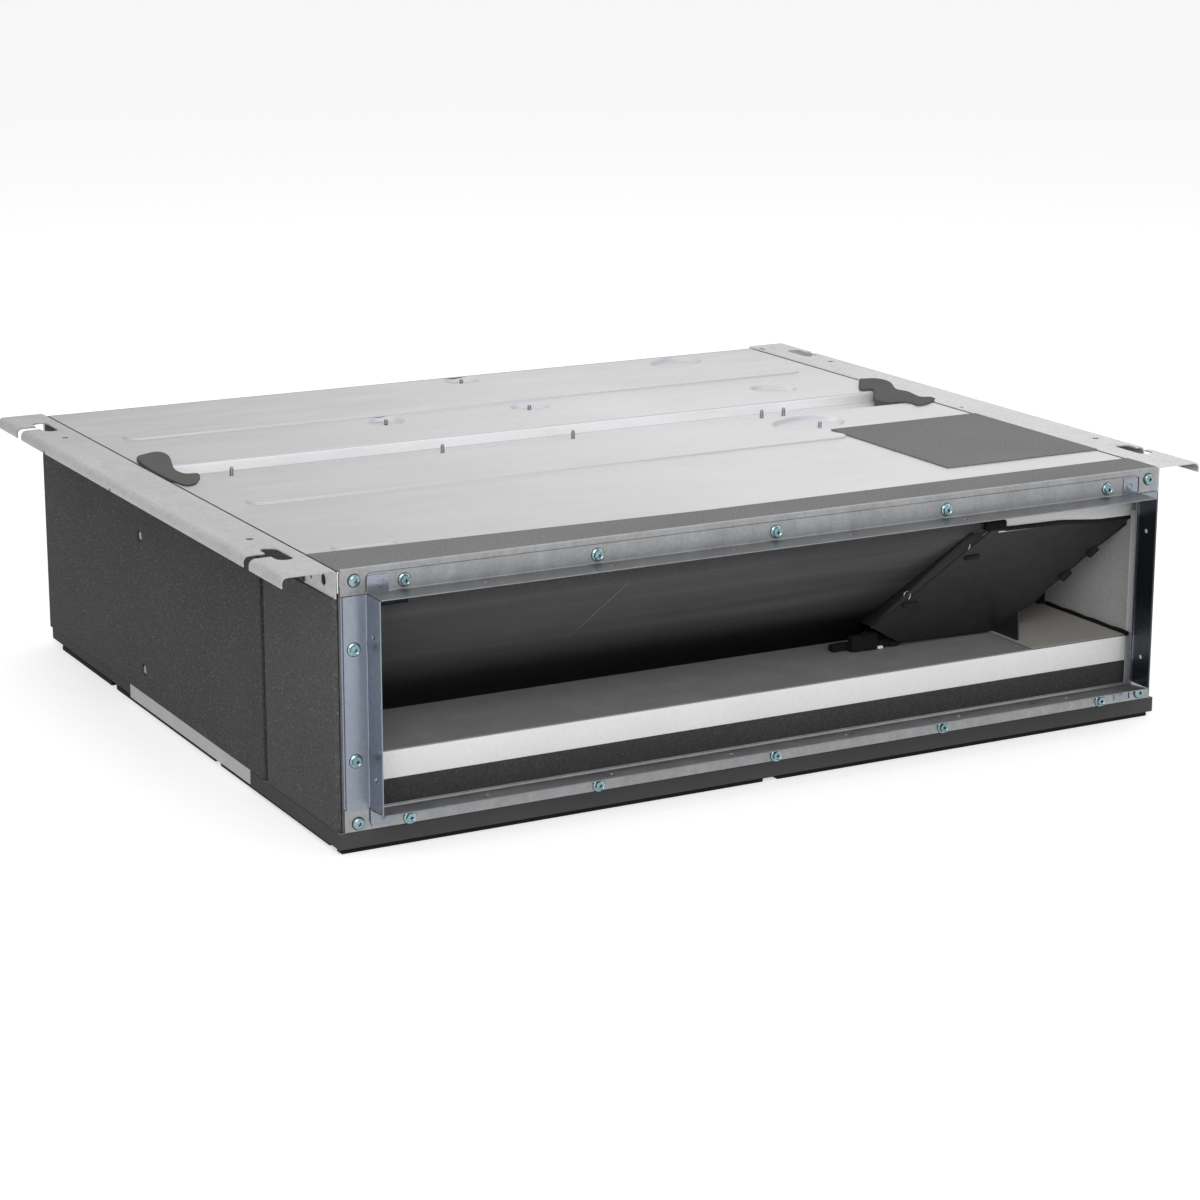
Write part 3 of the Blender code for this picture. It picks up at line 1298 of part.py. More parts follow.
def make_partition():
    """The upright plate between the fans and the coil chamber, and the angle that ties it to the trough."""
    half = SIDE_INNER - GAP
    low = PAN_BOTTOM
    profile = [
        (PARTITION_Y, PARTITION_TOP),
        (PARTITION_Y, low + SHEET / 2),
        (PARTITION_Y - PARTITION_FLANGE, low + SHEET / 2),
    ]
    item = part("fan_partition", folded_sheet(profile, "X", -half, half), "galvanised")
    thicken(item, SHEET)
    windows = bmesh.new()
    bottom, top = neck_heights()
    inner = WHEEL_WIDTH / 2 + HOUSING_SIDE_CLEARANCE
    for sign in (-1, 1):
        x = sign * FAN_OFFSET
        add_box(
            windows,
            (x - inner, PARTITION_Y - OVERCUT, bottom),
            (x + inner, PARTITION_Y + OVERCUT, PARTITION_TOP + OVERCUT),
        )
    cut(item, windows, "windows")

    leg = PARTITION_Y - SHEET - GAP
    profile = [
        (PARTITION_Y - PARTITION_FLANGE, PARTITION_TOP - SHEET / 2),
        (leg, PARTITION_TOP - SHEET / 2),
        (leg, top),
    ]
    item = part("partition_header", folded_sheet(profile, "X", -half, half), "galvanised")
    thicken(item, SHEET)
    join(item, seam_screw_tips(), "seam_screws")


def make_housing(name, sign):
    """A scroll housing with a round inlet on each side and a neck that meets the partition."""
    centre = sign * FAN_OFFSET
    inner = WHEEL_WIDTH / 2 + HOUSING_SIDE_CLEARANCE
    outer = inner + HOUSING_WALL
    shape = bmesh.new()
    add_prism(shape, housing_outline(0.0), "X", centre - outer, centre + outer)
    item = part(f"fan_housing_{name}", shape, "black_plastic", smooth_angle=35)
    rim = bmesh.new()
    bottom, top = neck_heights()
    neck = PARTITION_Y + SHEET / 2 + GAP
    add_box(
        rim,
        (centre - outer - OUTLET_RIM, neck, bottom - HOUSING_WALL - OUTLET_RIM),
        (centre + outer + OUTLET_RIM, neck + HOUSING_WALL, top + HOUSING_WALL),
    )
    join(item, rim, "outlet_rim")
    lips = bmesh.new()
    for side in (-1, 1):
        face = centre + side * (outer - HOUSING_WALL / 2)
        add_rod(
            lips,
            (face, FAN_Y, FAN_Z),
            "X" if side > 0 else "-X",
            INLET_LIP + HOUSING_WALL / 2,
            INLET_EYE + INLET_LIP,
            INLET_EYE + HOUSING_WALL,
            steps=EYE_STEPS,
        )
    join(item, lips, "inlet_lips")
    hollow = bmesh.new()
    add_prism(hollow, housing_outline(HOUSING_WALL), "X", centre - inner, centre + inner)
    cut(item, hollow, "hollow")
    eye = bmesh.new()
    length = 2 * (outer + 2 * INLET_LIP)
    add_rod(eye, (centre - length / 2, FAN_Y, FAN_Z), "X", length, INLET_EYE, steps=EYE_STEPS)
    cut(item, eye, "inlets")


def blade_outline(angle):
    """Cross-section of one forward-curved blade: a crescent from its root to its tip."""
    root = Vector((math.cos(angle), math.sin(angle))) * (WHEEL_RADIUS - BLADE_DEPTH)
    swept = angle + BLADE_SWEEP
    tip = Vector((math.cos(swept), math.sin(swept))) * WHEEL_RADIUS
    chord = (tip - root).normalized()
    side = Vector((chord.y, -chord.x))
    middle = (root + tip) / 2
    points = (root, middle + side * BLADE_BOW, tip, middle + side * (BLADE_BOW - BLADE_THICKNESS))
    return [(FAN_Y + point.x, FAN_Z + point.y) for point in points]


def make_wheel(name, sign):
    """A double-inlet sirocco wheel: hub and middle disc, a ring of curved blades and two end rings."""
    centre = sign * FAN_OFFSET
    half = WHEEL_WIDTH / 2
    blade_root = WHEEL_RADIUS - BLADE_DEPTH
    bore = SHAFT_RADIUS + GAP
    shape = bmesh.new()
    add_turned(
        shape,
        [
            (bore, -HUB_LENGTH / 2),
            (HUB_RADIUS, -HUB_LENGTH / 2),
            (HUB_RADIUS, -WHEEL_DISC / 2),
            (blade_root + SHEET, -WHEEL_DISC / 2),
            (blade_root + SHEET, WHEEL_DISC / 2),
            (HUB_RADIUS, WHEEL_DISC / 2),
            (HUB_RADIUS, HUB_LENGTH / 2),
            (bore, HUB_LENGTH / 2),
            (bore, -HUB_LENGTH / 2),
        ],
        (centre, FAN_Y, FAN_Z),
        "X",
        steps=EYE_STEPS,
    )
    item = part(f"fan_wheel_{name}", shape, "grey_plastic", origin=(centre, FAN_Y, FAN_Z))
    blades = bmesh.new()
    for i in range(BLADE_COUNT):
        outline = blade_outline(math.tau * (i + BLADE_START) / BLADE_COUNT)
        add_prism(blades, outline, "X", centre - half + RING_WIDTH / 2, centre + half - RING_WIDTH / 2)
    join(item, blades, "blades")
    rings = bmesh.new()
    for side in (-1, 1):
        edge = centre + side * half
        low = min(edge, edge - side * RING_WIDTH)
        add_turned(
            rings,
            [
                (blade_root - SHEET, 0.0),
                (WHEEL_RADIUS + SHEET, 0.0),
                (WHEEL_RADIUS + SHEET, RING_WIDTH),
                (blade_root - SHEET, RING_WIDTH),
                (blade_root - SHEET, 0.0),
            ],
            (low, FAN_Y, FAN_Z),
            "X",
            steps=EYE_STEPS,
        )
    join(item, rings, "rings")


def make_shaft():
    """The shaft that carries both wheels through the motor."""
    reach = FAN_OFFSET + HUB_LENGTH / 2 + SHAFT_OVERHANG
    shape = bmesh.new()
    add_rod(shape, (-reach, FAN_Y, FAN_Z), "X", 2 * reach, SHAFT_RADIUS, steps=SHAFT_STEPS)
    part("fan_shaft", shape, "steel", smooth_angle=35, origin=(0.0, FAN_Y, FAN_Z))


def make_motor():
    """The double-ended fan motor and the bracket that carries it."""
    half = MOTOR_LENGTH / 2
    bore = (SHAFT_RADIUS + SHAFT_FIT) / math.cos(math.pi / SHAFT_STEPS)
    boss = half + MOTOR_BOSS_LENGTH
    shape = bmesh.new()
    add_turned(
        shape,
        [
            (bore, -boss),
            (MOTOR_BOSS_RADIUS, -boss),
            (MOTOR_BOSS_RADIUS, -half),
            (MOTOR_RADIUS - MOTOR_EDGE, -half),
            (MOTOR_RADIUS, -half + MOTOR_EDGE),
            (MOTOR_RADIUS, half - MOTOR_EDGE),
            (MOTOR_RADIUS - MOTOR_EDGE, half),
            (MOTOR_BOSS_RADIUS, half),
            (MOTOR_BOSS_RADIUS, boss),
            (bore, boss),
            (bore, -boss),
        ],
        (0.0, FAN_Y, FAN_Z),
        "X",
        steps=SHAFT_STEPS,
    )
    part("fan_motor", shape, "motor_paint", smooth_angle=35)

    half_width = BRACKET_WIDTH / 2
    low = BASE_TOP + GAP
    spacing = BRACKET_SPACING / 2
    shape = bmesh.new()
    add_box(
        shape,
        (-spacing - BRACKET_PLATE / 2, FAN_Y - half_width, low),
        (spacing + BRACKET_PLATE / 2, FAN_Y + half_width, low + BRACKET_PLATE),
    )
    item = part("motor_bracket", shape, "galvanised")
    uprights = bmesh.new()
    for side in (-1, 1):
        x = side * spacing
        add_box(
            uprights,
            (x - BRACKET_PLATE / 2, FAN_Y - half_width, low + BRACKET_PLATE / 2),
            (x + BRACKET_PLATE / 2, FAN_Y + half_width, FAN_Z),
        )
    join(item, uprights, "uprights")
    seat = bmesh.new()
    length = BRACKET_SPACING + 4 * BRACKET_PLATE
    add_rod(seat, (-length / 2, FAN_Y, FAN_Z), "X", length, MOTOR_RADIUS + 2 * GAP, steps=SHAFT_STEPS)
    cut(item, seat, "motor_seat")


def make_control_box():
    """The electrical box on the right side, its lid and its cable glands."""
    low_y = FRONT + BOX_FROM_FRONT
    high_y = low_y + BOX_LENGTH
    outer = BOX_INNER + BOX_DEPTH
    shape = bmesh.new()
    add_box(shape, (BOX_INNER, low_y, BOX_BOTTOM), (outer, high_y, BOX_TOP))
    item = part("control_box", shape, "galvanised")
    glands = bmesh.new()
    for z in (BOX_BOTTOM + GLAND_MARGIN, BOX_TOP - GLAND_MARGIN):
        seat = (BOX_INNER + (BOX_DEPTH - BOX_LID_SKIRT) / 2, low_y + SHEET, z)
        add_rod(glands, seat, "-Y", GLAND_LENGTH, GLAND_RADIUS, steps=HOLE_STEPS)
    join(item, glands, "glands")

    lid = bmesh.new()
    reach = GAP + BOX_LID
    add_box(
        lid,
        (outer - BOX_LID_SKIRT, low_y - reach, BOX_BOTTOM - reach),
        (outer + reach, high_y + reach, BOX_TOP + reach),
    )
    item = part("control_box_lid", lid, "galvanised")
    hollow = bmesh.new()
    add_box(
        hollow,
        (outer - BOX_LID_SKIRT - SHEET, low_y - GAP, BOX_BOTTOM - GAP),
        (outer + GAP, high_y + GAP, BOX_TOP + GAP),
    )
    cut(item, hollow, "hollow")


def build():
    clear_scene()
    make_base()
    for name, sign in (("left", -1), ("right", 1)):
        make_side(name, sign)
        make_rail(name, sign)
    make_top_panels()
    make_top_foam()
    for name in ENDS:
        make_frame(name)
    make_flange("outlet", "front")
    make_flange("inlet", "rear")
    make_linings()
    make_drain_pan()
    make_coil()
    make_pipe("gas_pipe", GAS_PIPE_RADIUS, FRONT + PIPE_FROM_FRONT, GAS_PIPE_HEIGHT, 0)
    make_pipe("liquid_pipe", LIQUID_PIPE_RADIUS, FRONT + PIPE_FROM_FRONT, LIQUID_PIPE_HEIGHT, -1)
    make_flare_nuts()
    make_coil_cover()
    make_partition()
    for name, sign in (("left", -1), ("right", 1)):
        make_housing(name, sign)
        make_wheel(name, sign)
    make_shaft()
    make_motor()
    make_control_box()


build()
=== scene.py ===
"""Looks of the concealed ducted indoor unit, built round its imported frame.

Metres, +Z up, -Y out of the air outlet, origin in the middle of the footprint at the base.
"""
import math

import bmesh
import bpy
from mathutils import Matrix, Vector


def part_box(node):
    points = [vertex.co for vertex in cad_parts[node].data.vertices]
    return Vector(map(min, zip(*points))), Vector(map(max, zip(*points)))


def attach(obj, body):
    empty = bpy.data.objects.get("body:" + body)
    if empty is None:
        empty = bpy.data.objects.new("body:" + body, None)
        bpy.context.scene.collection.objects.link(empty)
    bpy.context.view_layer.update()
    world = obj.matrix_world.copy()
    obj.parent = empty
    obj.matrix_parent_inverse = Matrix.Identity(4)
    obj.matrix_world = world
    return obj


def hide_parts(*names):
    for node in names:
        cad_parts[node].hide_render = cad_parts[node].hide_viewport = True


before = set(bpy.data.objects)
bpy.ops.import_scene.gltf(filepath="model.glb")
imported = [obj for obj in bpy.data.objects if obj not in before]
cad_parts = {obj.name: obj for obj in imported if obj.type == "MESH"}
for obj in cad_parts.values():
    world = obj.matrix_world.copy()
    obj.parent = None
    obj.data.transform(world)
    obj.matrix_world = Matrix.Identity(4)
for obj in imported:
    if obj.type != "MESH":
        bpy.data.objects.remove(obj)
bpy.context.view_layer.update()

# Camera, floor and lights
CAMERA_PLACE = (-1.400, -2.6175, 0.866)
CAMERA_AZIMUTH = -28.15
CAMERA_ELEVATION = 14.0
CAMERA_LENS = 90.69
CAMERA_SHIFT = (0.01606, -0.03330)
CAMERA_REACH = 200.0
FLOOR_SIZE = 60.0
FLOOR_TONE = 0.8
FLOOR_GLOW = 0.50
WORLD_LIGHT = 0.48
AIM = Vector((0.0, 0.0, 0.12))
# Area lamps: name, place, size and watts
LIGHTS = (
    ("key_light", (-1.2, -3.0, 2.0), 2.2, 56.0),
    ("top_light", (0.4, 0.8, 3.0), 3.0, 24.0),
    ("right_light", (2.6, -1.6, 1.6), 1.6, 6.0),
)

# Shader work: the Mix node's colour sockets, and where painted shade darkens the zinc: towards the left and
# the rear, and on each angle's leg
MIX_FIRST = 6
MIX_SECOND = 7
MIX_RESULT = 2
EVEN = (1.0, 1.0, 1.0)
WHITE = (1.0, 1.0, 1.0, 1.0)
ZINC_PAINTED_SHADE_X = (-0.43, 0.12)
ZINC_PAINTED_SHADE_Y = (0.10, 0.38)
ZINC_PAINTED_SHADE_REAR = 0.86
LEG_FADE = 0.002
LEG_PAINTED_SHADE_X = (-0.30, 0.38)
# Spans of a normal's Y for slopes that face the outlet, walls that face it and slopes that face away, and the
# tones painted on them as light and shade: a toned slope, a painted highlight on the walls, painted shade on
# slopes that face away
FACINGS = ((-0.10, -0.45), (-0.86, -0.97), (0.08, 0.50))
PANEL_PAINTED_LIGHT = ((186, 186, 192), (250, 250, 252), (160, 160, 163))

# Casing
FRONT = -0.3775
REAR = 0.3775
HALF_WIDTH = 0.430
SIDES = (("left", -1), ("right", 1))
TOP = 0.250
PANEL_TOP = 0.2485
SHEET = 0.0010
SEAM = 0.0004
WELD = 0.00002
OVERCUT = 0.001

# Duct openings and their flange angles
OPENING_HALF = 0.404
OPENING_LOW = 0.040
OPENING_HIGH = 0.227
FRAME_HALF = {"front": 0.4282, "rear": 0.4287}
FRAME_LOW = 0.0198
FRAME_RETURN = 0.0050
FLANGE_FACE = {"top": 0.0180, "bottom": 0.0195, "side": 0.0225}
FLANGE_REACH = 0.0280
FLANGE_GAP = 0.0003
LEG_START = -0.3800
FLANGE_BEND = 0.0012
# Sweep in degrees of the outlet's bottom angle, whose bend is rolled
ROLLED_BEND = 270.0
FLANGE_STEPS = 5
FLANGE_CORNER = 0.0035
FLANGE_EDGE = 0.0002
FLANGE_SCREWS_X = {
    "top": (-0.3700, -0.1855, -0.0035, 0.1810, 0.3660),
    "bottom": (-0.368, -0.184, 0.0, 0.184, 0.368),
}
SIDE_SCREWS_Z = (0.083, 0.181)
SCREW_INSET = {"top": 0.0078, "bottom": 0.0135, "side": 0.0135}
LEG_HOLES_X = (-0.300, -0.178, -0.055, 0.068, 0.193, 0.318)
SIDE_LEG_HOLES_Z = (0.193, 0.068)
LEG_HOLE = 0.0022
TAB_WIDTH = 0.0192
TAB_HEIGHT = 0.0165
TAB_SHEET = 0.0008
CLINCH_INSET = 0.0120
CLINCH_RADIUS = 0.0032
CLINCH_RISE = 0.0009
CORNER_SCREW_SIDE = 0.0142
CORNER_SCREW_TOP = 0.0100
CORNER_SCREW_LOW = 0.0270

# Screws
PAN_RADIUS = 0.0055
PAN_HEIGHT = 0.0032
HEX_FLANGE = 0.0058
HEX_FLANGE_EDGE = 0.0006
HEX_FLANGE_TOP = 0.0013
HEX_RADIUS = 0.0046
HEX_HEIGHT = 0.0038
HEX_DISH = 0.0004
RECESS_LENGTH = 0.0054
RECESS_WIDTH = 0.0016
RECESS_DEPTH = 0.0024
# Dark disc under each screw head, painted as its shadow: its reach past the head's edge and its thickness
HEAD_SHADOW_REACH = 0.0005
HEAD_SHADE = 0.0001
TIP_RADIUS = 0.0022
TIP_THREAD = 0.0003
TIP_PITCH = 0.0013
# Turns of the heads: degrees per metre or side of the place
HEX_TURN = 1700.0
SIDE_TURN = (40.0, 500.0)
PAN_TURN = (25.0, 60.0)

# Coil: y and z of its face's upper and lower edge, its fins, and the rub across its face
COIL_TOP = (-0.3575, 0.20282)
COIL_LOW = (-0.16096, 0.0451)
COIL_THICKNESS = 0.036
FIN_PITCH = 0.0016
FIN_SHEET = 0.0006
FIN_PROUD = 0.0004
FIN_MARGIN = 0.0035
COIL_RUB = ((-0.1406, -0.3540, 0.2000), (-0.1593, -0.2380, 0.1069))
COIL_RUB_RADIUS = 0.0005

# Fans; the wheel's ring and hub are outlines of radius and place along the shaft
FAN_Y = 0.2325
FAN_Z = 0.12035
FAN_OFFSET = 0.200
WHEEL_RADIUS = 0.075
WHEEL_WIDTH = 0.160
BLADES = 42
BLADE_DEPTH = 0.0125
BLADE_SHEET = 0.0010
BLADE_SWEEP = 0.20
BLADE_BOW = 0.0022
BLADE_CURVE = ((0.0, 0.0), (0.25, 0.75), (0.5, 1.0), (0.75, 0.75), (1.0, 0.0))
RING_WIDTH = 0.0025
RING_RISE = 0.0010
BLADE_ROOT = WHEEL_RADIUS - BLADE_DEPTH
WHEEL_RING = (
    (BLADE_ROOT - RING_RISE, 0.0), (WHEEL_RADIUS + RING_RISE, 0.0), (WHEEL_RADIUS + RING_RISE, RING_WIDTH),
    (BLADE_ROOT - RING_RISE, RING_WIDTH), (BLADE_ROOT - RING_RISE, 0.0),
)
WHEEL_HUB = (
    (0.0043, -0.015), (0.0120, -0.015), (0.0130, -0.014), (0.0130, -0.003), (0.0160, -0.001),
    (BLADE_ROOT, -0.001), (BLADE_ROOT, 0.001), (0.0160, 0.001), (0.0130, 0.003), (0.0130, 0.014),
    (0.0120, 0.015), (0.0043, 0.015), (0.0043, -0.015),
)

# Screw tips on the top: x and y in the dishes, and along the trough
DISH_TIPS = ((-0.128, 0.1875), (0.038, 0.1855), (0.040, 0.3545), (0.262, -0.0345))
DISH_FLOOR = 0.2445
TROUGH_TOP = 0.2375
SEAM_SCREWS_X = (-0.350, -0.124, 0.024, 0.250, 0.277)
SEAM_SCREW_Y = 0.0605
DISH_TIP_RISE = 0.0062
TROUGH_TIP_RISE = 0.0100

# Top panels: their edges, the sunk trough between them, and their pressed forms
PANEL_HALF = 0.4295
PANEL_FRONT_EDGE = -0.3757
PANEL_REAR_EDGE = 0.3757
TROUGH_FRONT = 0.0145
TROUGH_REAR = 0.0845
TROUGH_GAP = 0.0003
PANEL_BEND = 0.0012
BEND_STEPS = 4
PANEL_GUARD = 0.0020
SIDE_DROP = 0.0180
END_DROP = 0.0120
PRESS_STEPS = 7
RIB_RISE = 0.0019
RIB_SLOPE = 0.0026
DISH_DEPTH = 0.0040
DISH_SLOPE = 0.0075
DISH_STEPS = 52
FRONT_RIBS = ((-0.400, 0.2505, -0.0995, 0.0300), (-0.402, -0.340, -0.2985, 0.0210))
REAR_RIBS = ((-0.400, 0.400, 0.2285, 0.0300),)
# Dishes: x, y, radius, share by which one axis is longer, and the turn of that axis in degrees
FRONT_DISHES = ((0.252, -0.0275, 0.0390, 0.16, 20.0),)
REAR_DISHES = (
    (-0.128, 0.1875, 0.0230, 0.10, 60.0),
    (0.038, 0.1855, 0.0215, 0.10, 0.0),
    (0.040, 0.3545, 0.0205, 0.05, 0.0),
    (0.306, 0.3405, 0.0320, 0.20, 30.0),
    (0.320, 0.1515, 0.0245, 0.12, 150.0),
)

# Rails: notches in the lips, round holes, slots in the right rail's top, and holes in the inner flange
LIP_X = (0.4770, 0.4820)
LIP_Z = (0.2390, 0.2425)
RAIL_NOTCHES_Y = (0.0425, 0.2355)
NOTCH_HALF = 0.0022
RAIL_HOLES = {
    "left": ((-0.4516, -0.2365), (-0.4516, 0.2545)),
    "right": ((0.4607, -0.2365), (0.4607, 0.2545)),
}
# Dark discs just under the rails' round holes: painted shade in them
HOLE_SHADE_Z = (0.2486, 0.2493)
HOLE_SHADE_RADIUS = 0.0034
RAIL_SLOTS_Y = ((-0.0440, -0.0370), (0.3555, 0.3675))
RAIL_SLOT_X = (0.4336, 0.4366)
RAIL_SLOT_Z = (0.2470, 0.2510)
# Dark bars just under the right rail's slots: painted shade in them
SLOT_SHADE_X = (0.4334, 0.4368)
SLOT_SHADE_Z = (0.2484, 0.2492)
# Painted shade in the inner flange's keyhole and small hole: way out from the middle at each end, y, z and
# radius
FLANGE_SHADES = ((0.4304, 0.4309, -0.3505, 0.2370, 0.0049), (0.4315, 0.4319, -0.3245, 0.2336, 0.0016))

# Gaps that the base foam's sheets leave along the left edge and at the front
BASE_NOTCHES_Y = ((-0.3625, -0.3495), (-0.0945, -0.0805), (0.1895, 0.2025))
BASE_NOTCH_X = (-0.0100, 0.0050)
BASE_NOTCH_DEPTH = 0.012
BASE_NOTCH_LEAD = 0.02
BASE_NOTCH_HEIGHT = 0.0065

# Seals at the trough's ends, seen from above: x and distance from the front in mm
SEAL_OUTLINES = {
    "left": (
        (-427, 487), (-409, 514), (-394, 517), (-394.5, 488), (-407, 441),
        (-406, 417), (-394.5, 411), (-401, 391), (-415, 370), (-426, 382),
    ),
    "right": (
        (425, 517), (396.5, 473), (407, 462), (380, 417), (383, 396), (394, 395),
        (403, 385), (402, 371), (413, 371), (436, 387), (439, 400), (430, 407),
        (435, 437), (431, 454), (443, 484), (443, 512), (431, 519),
    ),
}
SEAL_CROWN = 0.0018
SEAL_HUMP = 0.0022
SEAL_HUMP_Y = 0.1150
SEAL_HUMP_LENGTH = 0.0300
SEAL_EDGE = 0.0020
SEAL_STEPS = 5

# Slanted cover over the coil's right end; places on it are x and way down in mm
COVER_START = (-0.3515, 0.2005)
COVER_SLOPE = (0.4954, -0.8687)
COVER_OUTLINE = (
    (252, -4.6), (266, -4.9), (268, 0.6), (330, 1.4), (381, 5.8), (416.4, 6.6), (416.4, 13.0), (386, 46.5),
    (365, 73.9), (352, 89.7), (345, 104.1), (328.4, 115.6), (307.6, 138.0), (255.7, 135.6), (193.3, 132.3),
    (155, 107.5),
)
COVER_SHEET = 0.0016
COVER_EDGE = 0.0003
STRIP_REAR = (Vector((0.2245, -0.3605, 0.2045)), Vector((0.1999, -0.2121, 0.0861)))
STRIP_BEAD = 0.0016
# Rims: radius, how far they stand off, and their points
COVER_RIMS = {
    "top": (0.0023, 0.0010, ((257, -4.4), (267, -3.4), (268, -1.6), (330, -0.8), (381, 3.6), (416.4, 4.4))),
    "free": (0.0013, 0.0008, COVER_OUTLINE[6:13]),
    "left": (0.0014, 0.0004, (COVER_OUTLINE[0], COVER_OUTLINE[-1])),
}
# Clips and tabs: place, half sizes and turn in degrees
COVER_LUGS = (
    ((388, 45.5), (0.0065, 0.0035, 0.0036), -35.0),
    ((367, 73.5), (0.0065, 0.0035, 0.0036), -35.0),
    ((240, 31.0), (0.0085, 0.0028, 0.0022), 0.0),
    ((189, 84.0), (0.0085, 0.0028, 0.0022), 0.0),
)
LUG_PROUD = 0.0026
LUG_EDGE = 0.0014
HOOKS = ((226.7, 15.4), (179.7, 72.1))
HOOK_PROUD = 0.0052
HOOK_REACH = (0.0038, 0.0042)
HOOK_START = -60.0
HOOK_STEP = 24.0
HOOK_POINTS = 11
WIRE_RADIUS = 0.0005
GUSSET_PROFILE = ((-0.3240, 0.0797), (-0.2810, 0.0797), (-0.3240, 0.1096))
GUSSET_X = (0.3078, 0.3092)
# Wavy bead of sealant along the pan's right wall
WALL_BEAD_START = (0.4160, -0.3555, 0.0812)
WALL_BEAD_STEP = 0.0130
WALL_BEAD_WAVE = 0.0005
WALL_BEAD_PHASE = 2.1
WALL_BEAD_POINTS = 11
WALL_BEAD_RADIUS = 0.0024
WALL_EDGE = 0.0005
WALL_EDGE_Z = (0.0808, 0.2040)

# Plain pieces: finish, edge, and boxes with x, y and z of their low and high corners in mm
BOXES = {
    "cover_foot_sealant": (
        "sealant",
        0.0024,
        (408.5, -222.5, 79.7, 416.8, -207.5, 97.0),
        (127.0, -275.0, 79.7, 149.0, -265.0, 86.7),
        (143.0, -284.0, 79.7, 161.0, -274.0, 94.7),
        (157.5, -285.0, 79.7, 172.5, -275.0, 97.2),
        (170.5, -282.0, 79.7, 189.5, -272.0, 87.7),
        (186.5, -284.0, 79.7, 199.5, -274.0, 85.7),
        (242.0, -358.0, 203.0, 266.5, -351.5, 212.5),
    ),
    "cover_foot_crumb": ("white", 0.0008, (172.5, -284.5, 79.7, 178.5, -281.5, 82.5)),
    # Dark strips in the joints between the rails and the top panels: painted shade
    "rail_joint_painted_shade": (
        "rim",
        0.0,
        (-430.3, -371.5, 246.2, -428.2, 13.5, 248.65),
        (-430.3, 85.5, 246.2, -428.2, 375.5, 248.65),
        (428.2, -371.5, 246.2, 430.3, 13.5, 248.65),
        (428.2, 85.5, 246.2, 430.3, 375.5, 248.65),
    ),
    "rail_side_foam": (
        "insulation",
        0.0,
        (-433.4, -310.0, 226.2, -432.2, 374.0, 246.6),
        (432.2, -310.0, 226.2, 433.4, 374.0, 246.6),
    ),
    # Dark line where the right tabs meet the angle: painted shade in the gap
    "right_tab_painted_shade": (
        "rim",
        0.0,
        (401.8, -379.6, 229.2, 403.0, -379.0, 244.0),
        (401.8, -379.6, 23.2, 403.0, -379.0, 38.0),
    ),
    "leg_end_foam": ("rim", 0.0, (-391.0, -377.2, 215.2, -366.0, -376.6, 227.1)),
    "pan_side_sheet": ("side_liner", 0.0002, (303.5, -353.5, 79.7, 414.5, -212.5, 80.3)),
}

# CAD nodes that keep their shape: finish, rounding of the edges, and the nodes
DRESSED = (
    ("front_insulation", 0.0008, ("side_foam_left_front", "side_foam_right_front")),
    ("insulation", 0.0008, ("side_foam_left_rear", "side_foam_right_rear")),
    ("inner", 0.0, ("side_panel_left", "side_panel_right", "base_panel_rear")),
    ("wall", 0.0010, ("wall_lining_left", "wall_lining_right")),
    ("inner", 0.0002, ("coil_end_plate_left", "coil_end_plate_right")),
    ("housing", 0.0004, ("fan_housing_left", "fan_housing_right")),
    ("felt", 0.0003, ("top_foam_strip", "top_foam_pad")),
    ("panel", 0.0003, ("base_panel_front",)),
    ("tape", 0.0002, ("base_edge_tape",)),
    ("white", 0.0010, ("top_lining",)),
    ("white", 0.0020, ("drain_pan",)),
    ("pan_foam", 0.0008, ("drain_pan_front_foam",)),
    ("liner", 0.0002, ("drain_pan_liner",)),
    ("drain", 0.0006, ("drain_outlet", "drain_collar")),
    ("copper", 0.0, ("coil_tube", "gas_pipe", "liquid_pipe")),
    ("brass", 0.0006, ("flare_nut_gas", "flare_nut_liquid")),
    ("inner", 0.0003, ("fan_partition", "partition_header")),
    ("motor", 0.0008, ("fan_motor",)),
    ("inner", 0.0004, ("motor_bracket",)),
    ("inner", 0.0005, ("control_box",)),
    ("panel", 0.0005, ("control_box_lid",)),
)
SMOOTH = 35.0
ROUND_SMOOTH = 50.0
BEAD_SMOOTH = 60.0


def tone(red, green, blue):
    """A linear colour from a screen tone on a scale of 255."""
    values = []
    for value in (red / 255, green / 255, blue / 255):
        values.append(value / 12.92 if value <= 0.04045 else ((value + 0.055) / 1.055) ** 2.4)
    return (*values, 1.0)


def grey(level):
    return (level, level, level, 1.0)


def scaled(base, share):
    """A colour made darker by a share."""
    return [share * value for value in base[:3]] + [1.0]


def start_finish(name, base, roughness, metallic=0.0):
    """A new material with its Principled shader set."""
    material = bpy.data.materials.new(name)
    material.use_nodes = True
    tree = material.node_tree
    shader = tree.nodes["Principled BSDF"]
    feed(tree, shader, {"Base Color": base, "Roughness": roughness, "Metallic": metallic})
    return material, tree, shader


def feed(tree, made, inputs):
    """Link the inputs of a node that are given as sockets, and set the others."""
    for name, value in inputs.items():
        if isinstance(value, bpy.types.NodeSocket):
            tree.links.new(value, made.inputs[name])
        else:
            made.inputs[name].default_value = value
    return made


def shader_node(tree, kind, inputs):
    return feed(tree, tree.nodes.new(f"ShaderNode{kind}"), inputs)


def stretched(tree, stretch):
    """Object coordinates, scaled per axis."""
    source = tree.nodes.new("ShaderNodeTexCoord").outputs["Object"]
    return shader_node(tree, "Mapping", {"Scale": stretch, "Vector": source}).outputs["Vector"]


def noise(tree, scale, detail=3.0, stretch=EVEN):
    inputs = {"Scale": scale, "Detail": detail, "Vector": stretched(tree, stretch)}
    return shader_node(tree, "TexNoise", inputs).outputs["Fac"]


